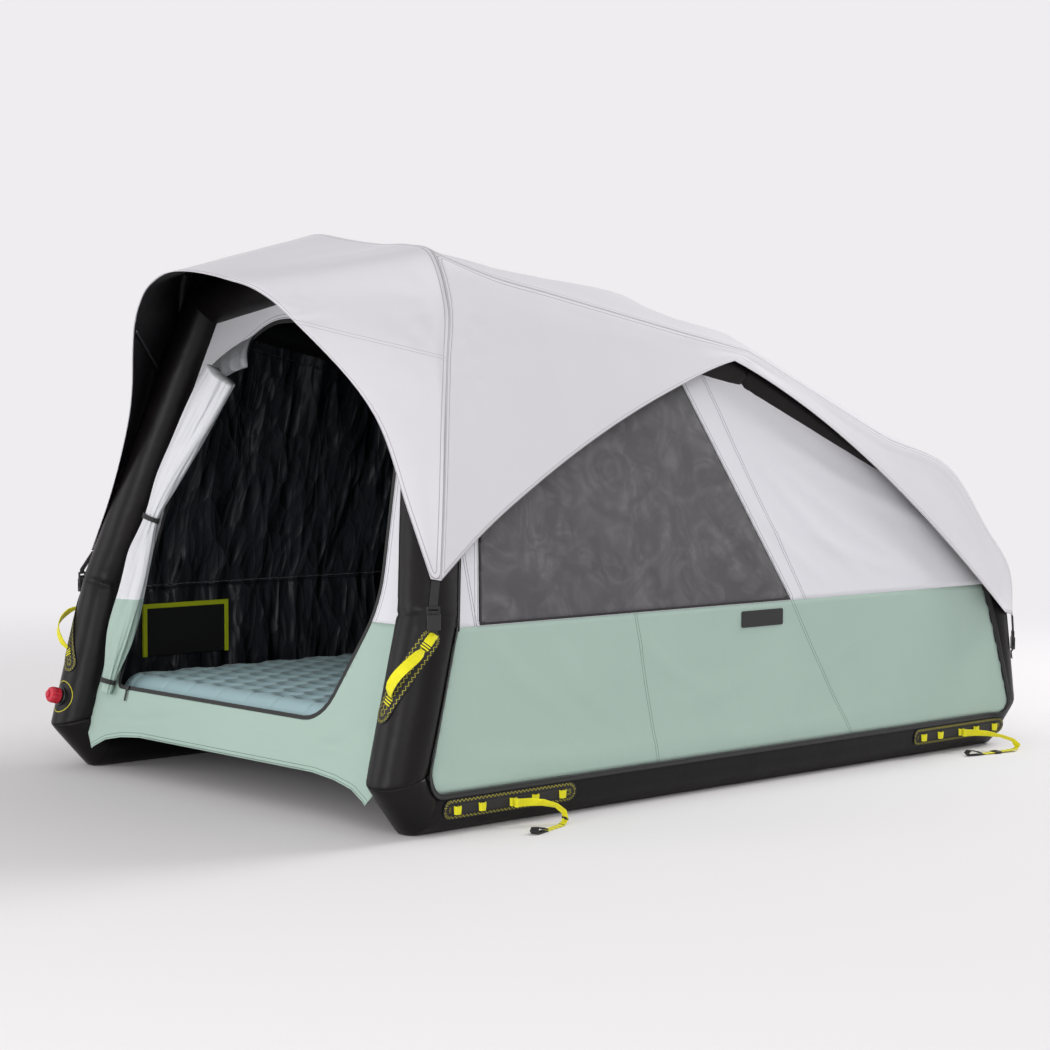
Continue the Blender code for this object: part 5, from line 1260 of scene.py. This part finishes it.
def bed_profile(half_x, half_z, radius):
    """Half of a bed's outline from bottom to top, as x, z and how far the point counts as top."""
    arc_x, arc_z = half_x - radius, half_z - radius
    points = [(arc_x * step / 12, -half_z, 0.0) for step in range(12)]
    for step in range(13):
        angle = math.pi * (step / 12 - 0.5)
        height = (arc_z if angle > 0 else -arc_z) + math.sin(angle) * radius
        points.append((arc_x + math.cos(angle) * radius, height, max(0.0, math.sin(angle))))
    return points + [(arc_x * (1 - step / 95), half_z, 1.0) for step in range(1, 96)]


def tuft_distance(x, y):
    """Distance to the nearest tuft of the staggered rows."""
    row = round(y / TUFT_ROW)
    least = 1.0
    for near_row in (row - 1, row, row + 1):
        shift = 0.5 * TUFT_PITCH if near_row % 2 else 0.0
        near = round((x - shift) / TUFT_PITCH) * TUFT_PITCH + shift
        least = min(least, math.hypot(x - near, y - near_row * TUFT_ROW))
    return least


def build_airbed():
    """A welded airbed: staggered tufts on top, and a smooth roll with short welds at each end."""
    low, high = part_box("mattress")
    centre, half = (low + high) / 2, (high - low) / 2 * 0.995
    edge = 0.055
    ends = [edge * (1 - math.cos(math.pi / 2 * step / 12)) for step in range(13)]
    middle = np.linspace(edge, 2 * half.y - edge, 281)[1:-1]
    rows = []
    for along in [*ends, *middle, *[2 * half.y - reach for reach in reversed(ends)]]:
        end = min(along, 2 * half.y - along)
        inset = edge - math.sqrt(max(0.0, edge ** 2 - (edge - min(end, edge)) ** 2))
        inset = min(inset, edge - 0.004)
        profile = bed_profile(half.x - inset, max(0.004, half.z - inset), edge - inset)
        y = along - half.y
        row = []
        for x, z, top in profile + [(-x, z, top) for x, z, top in reversed(profile)]:
            tuft = tuft_distance(x, y)
            reach = max(0.0, min(1.0, (half.x - abs(x) - 0.02) / 0.03, (half.y - abs(y) - 0.03) / 0.035))
            dip = 0.026 * math.exp(-(tuft / 0.025) ** 2) + 0.010 * math.exp(-tuft / 0.006)
            depth = 0.0
            if end < WELD_LENGTH:
                bowed = x + 0.018 * (1 - end / WELD_LENGTH) ** 2 + 0.010 * math.sin(x * 23.0)
                weld = abs(bowed - round(bowed / WELD_PITCH) * WELD_PITCH)
                depth = 0.0050 * math.exp(-(weld / 0.0045) ** 2) * min(1.0, (WELD_LENGTH - end) / 0.03)
            sunk = top * (dip * reach + depth)
            row.append(centre + Vector((x, y + math.copysign(depth * (1 - top), -y), z - sunk)))
        rows.append(row + row[:1])
    bed = lay("airbed_cloth", rows, "tent", [FLOCK], closed=True)
    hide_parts("mattress")


# Sewn patches on the sleeves

PATCH_WIDTH = 0.045
ANCHOR_PATCH_LENGTH = 0.390
# how far the carry handle's ends are apart up the leg, and round it
HANDLE_RISE = 0.436 - 0.232
HANDLE_RUN = math.radians(86.0) * TUBE_RADIUS
HANDLE_LENGTH = math.hypot(HANDLE_RISE, HANDLE_RUN)


def sided(rows, mirror):
    """Rows of points, taken to the left side where they are mirrored."""
    return [[flip(point) for point in row] for row in rows] if mirror else rows


def leg_surface(low, high, z, angle, radius):
    along = (high - low).normalized()
    turn = math.radians(angle)
    spoke = Vector((math.cos(turn), math.sin(turn), 0))
    spoke = (spoke - along * spoke.dot(along)).normalized()
    return at_height(low, high, z) + spoke * radius


def sewn_patch(name, surface, length, mirror):
    """A reinforcing patch with round ends, bent round a sleeve."""
    rows, columns = max(24, round(length / 0.004)), 16
    round_end = PATCH_WIDTH / 2
    straight = length / 2 - round_end
    points, hems, runs = [], [], []
    for i in range(rows + 1):
        s = length * -0.5 * math.cos(math.pi * i / rows)
        core = max(0.0, abs(s) - straight)
        half = round_end * max(0.12, math.sqrt(max(0.0, 1 - (core / round_end) ** 2)))
        across = [half * (2 * j / columns - 1) for j in range(columns + 1)]
        points.append([surface(s, v, TUBE_RADIUS + 0.0008) for v in across])
        hems.append([round_end - math.hypot(core, v) for v in across])
        turns = [math.atan2(core, abs(v)) * round_end if core else 0.0 for v in across]
        runs.append([s + math.copysign(turn, s) for turn in turns])
    made = lay(name, sided(points, mirror), "tent", [PATCH], thickness=0.0012, offset=1.0,
               marks={"hem": hems, "run": runs})
    faces_from(made.data, (0, 0.0, 0.3))
    declare_cloth(made, PATCH_WIDTH, length)


def handle_patch_point(s, v, radius):
    z = 0.334 - s * HANDLE_RISE / HANDLE_LENGTH + v * HANDLE_RUN / HANDLE_LENGTH
    turn = -62.0 - math.degrees((s * HANDLE_RUN + v * HANDLE_RISE) / HANDLE_LENGTH / TUBE_RADIUS)
    return leg_surface(ANKLE_A, KNEE_A, z, turn, radius)


def webbing_end(name, bars, half, mirror):
    """An end of the handle's webbing sewn to its patch, yellow and black by turns between the bars."""
    rows = [[handle_patch_point(s, half * (j / 4 - 1), TUBE_RADIUS + 0.0030) for j in range(9)] for s in bars]
    rows = sided(rows, mirror)
    made = lay(name, rows, "tent", [YELLOW], thickness=0.0014, offset=1.0)
    made.data.materials.append(TAPE_BLACK)
    faces_from(made.data, (0, 0.0, 0.3))
    for face in made.data.polygons:
        reaches = [min((face.center - a).length + (face.center - b).length for a, b in zip(row, after))
                   for row, after in zip(rows, rows[1:])]
        face.material_index = reaches.index(min(reaches)) % 2
    declare_cloth(made, bars[-1] - bars[0], 2 * half)


HANDLE_ENDS = {"upper": (-0.1060, -0.0800, -0.0775, -0.0745, -0.0718, -0.0685),
               "lower": (0.0555, 0.0580, 0.0612, 0.0640, 0.0672, 0.0700)}


def build_patches():
    for side in ("right", "left"):
        left = side == "left"
        for end, start in (("front", 0.055), ("rear", 1.665)):
            def surface(s, v, radius, middle=behind(start + ANCHOR_PATCH_LENGTH / 2)):
                turn = math.radians(-7.0) + v / TUBE_RADIUS
                spoke = Vector((math.cos(turn), 0, math.sin(turn))) * radius
                return Vector((BASE_A.x, middle + s, BASE_HEIGHT)) + spoke
            sewn_patch(f"{end}_anchor_patch_{side}", surface, ANCHOR_PATCH_LENGTH, left)
        sewn_patch(f"handle_patch_{side}", handle_patch_point, HANDLE_LENGTH, left)
        for name, bars in HANDLE_ENDS.items():
            webbing_end(f"handle_{name}_end_{side}", bars, 0.010, left)


# Finishes for the CAD model's own pieces

NODE_FINISHES = {
    TAPE_BLACK: ("door_zip_tape", "door_tie", "zip_pull", "bare_tag", "front_plug", "rear_plug"),
    PLASTIC: ("zip_slider", "valve_base", "strap_adjuster", "front_socket", "rear_socket"),
    ANCHOR: ("front_anchor", "rear_anchor"),
    STRAP_FRONT: ("tie_strap_front",),
    STRAP_REAR: ("tie_strap_rear",),
    POCKET: ("side_pocket",),
    RED: ("valve_cap",),
    YELLOW: ("carry_handle",),
    ROD: ("visor_batten",),
    LINING: ("floor_sheet",),
}


def finish_nodes():
    for name, made in NODES.items():
        for finish, stems in NODE_FINISHES.items():
            if name.startswith(stems):
                made.data.materials.clear()
                made.data.materials.append(finish)


# Stage


def seen_directly(nodes):
    """1 for a ray from the camera, a mirror or a window, and 0 for a ray that lights something."""
    light = nodes.put("LightPath").outputs
    seen = nodes.maths("MAXIMUM", light["Is Camera Ray"], light["Is Glossy Ray"])
    return nodes.maths("MAXIMUM", seen, light["Is Transmission Ray"])


def build_floor(backdrop):
    """A pale floor that fades into the backdrop."""
    work = bmesh.new()
    bmesh.ops.create_grid(work, x_segments=1, y_segments=1, size=40.0)
    floor = add_object("studio_floor", mesh_from(work, "studio_floor"))
    floor.location.z = -0.0005
    matt = Finish("matt_studio_floor")
    matt.fill(matt.shader, {"Base Color": colour("#f0edee"), "Roughness": 0.9})
    far = matt.vectors("LENGTH", matt.place, output="Value")
    fade = matt.ramp(far, 1.5, 5.4, interpolation_type="SMOOTHSTEP")
    share = matt.maths("MULTIPLY", fade, seen_directly(matt))
    glow = matt.put("Emission", {"Color": backdrop, "Strength": 1.0}).outputs[0]
    mixed = matt.put("MixShader", {0: share, 1: matt.shader.outputs[0], 2: glow}).outputs[0]
    matt.fill(matt.tree.nodes["Material Output"], {"Surface": mixed})
    floor.data.materials.append(matt.made)


def build_world(backdrop):
    world = bpy.data.worlds.new("studio")
    bpy.context.scene.world = world
    world.use_nodes = True
    world.node_tree.nodes.clear()
    nodes = Nodes(world.node_tree)
    ambient = nodes.put("Background", {"Color": colour("#f6f5f6"), "Strength": 0.56}).outputs[0]
    back = nodes.put("Background", {"Color": backdrop, "Strength": 1.0}).outputs[0]
    mixed = nodes.put("MixShader", {0: seen_directly(nodes), 1: ambient, 2: back}).outputs[0]
    nodes.put("OutputWorld", {0: mixed})


# each lamp's place, size in metres and power in watts
LAMPS = {"key": ((-3.0, -5.8, 1.6), 3.2, 72.0), "fill": ((4.6, -3.6, 2.3), 3.2, 60.0),
         "door": ((1.6, -5.6, 1.1), 1.6, 62.0), "top": ((1.3, 5.3, 4.7), 3.6, 262.0)}


def build_lamps():
    """Soft studio lamps that face the tent's middle."""
    for name, (place, size, power) in LAMPS.items():
        lamp = bpy.data.lights.new(name, "AREA")
        lamp.shape = "DISK"
        lamp.size = size
        lamp.energy = power
        made = add_object(name, lamp)
        made.location = place
        made.rotation_euler = (Vector((0, 0, 0.5)) - Vector(place)).to_track_quat("-Z", "Y").to_euler()


# the photograph's width and its camera's focal length in pixels, and a sensor's width in millimetres
PHOTO_PIXELS = 1050
FOCAL_PIXELS = 2208.4
SENSOR = 36.0


def build_camera():
    lens = bpy.data.cameras.new("camera")
    lens.sensor_width = SENSOR
    lens.lens = FOCAL_PIXELS / PHOTO_PIXELS * SENSOR
    camera = add_object("camera", lens)
    azimuth, pitch = math.radians(48.0), math.radians(2.79)
    level = math.cos(pitch)
    forward = Vector((-math.sin(azimuth) * level, math.cos(azimuth) * level, -math.sin(pitch)))
    camera.location = (4.3138, -3.9494, 0.8961)
    camera.rotation_euler = forward.to_track_quat("-Z", "Y").to_euler()
    bpy.context.scene.camera = camera


BACKDROP = colour("#efedf0")
build_camera()
build_floor(BACKDROP)
build_world(BACKDROP)
build_lamps()
build_tubes()
build_walls()
build_welts()
build_linings()
build_fly()
build_roll()
build_door_flap()
build_airbed()
build_patches()
finish_nodes()

bpy.context.scene.view_settings.view_transform = "Standard"
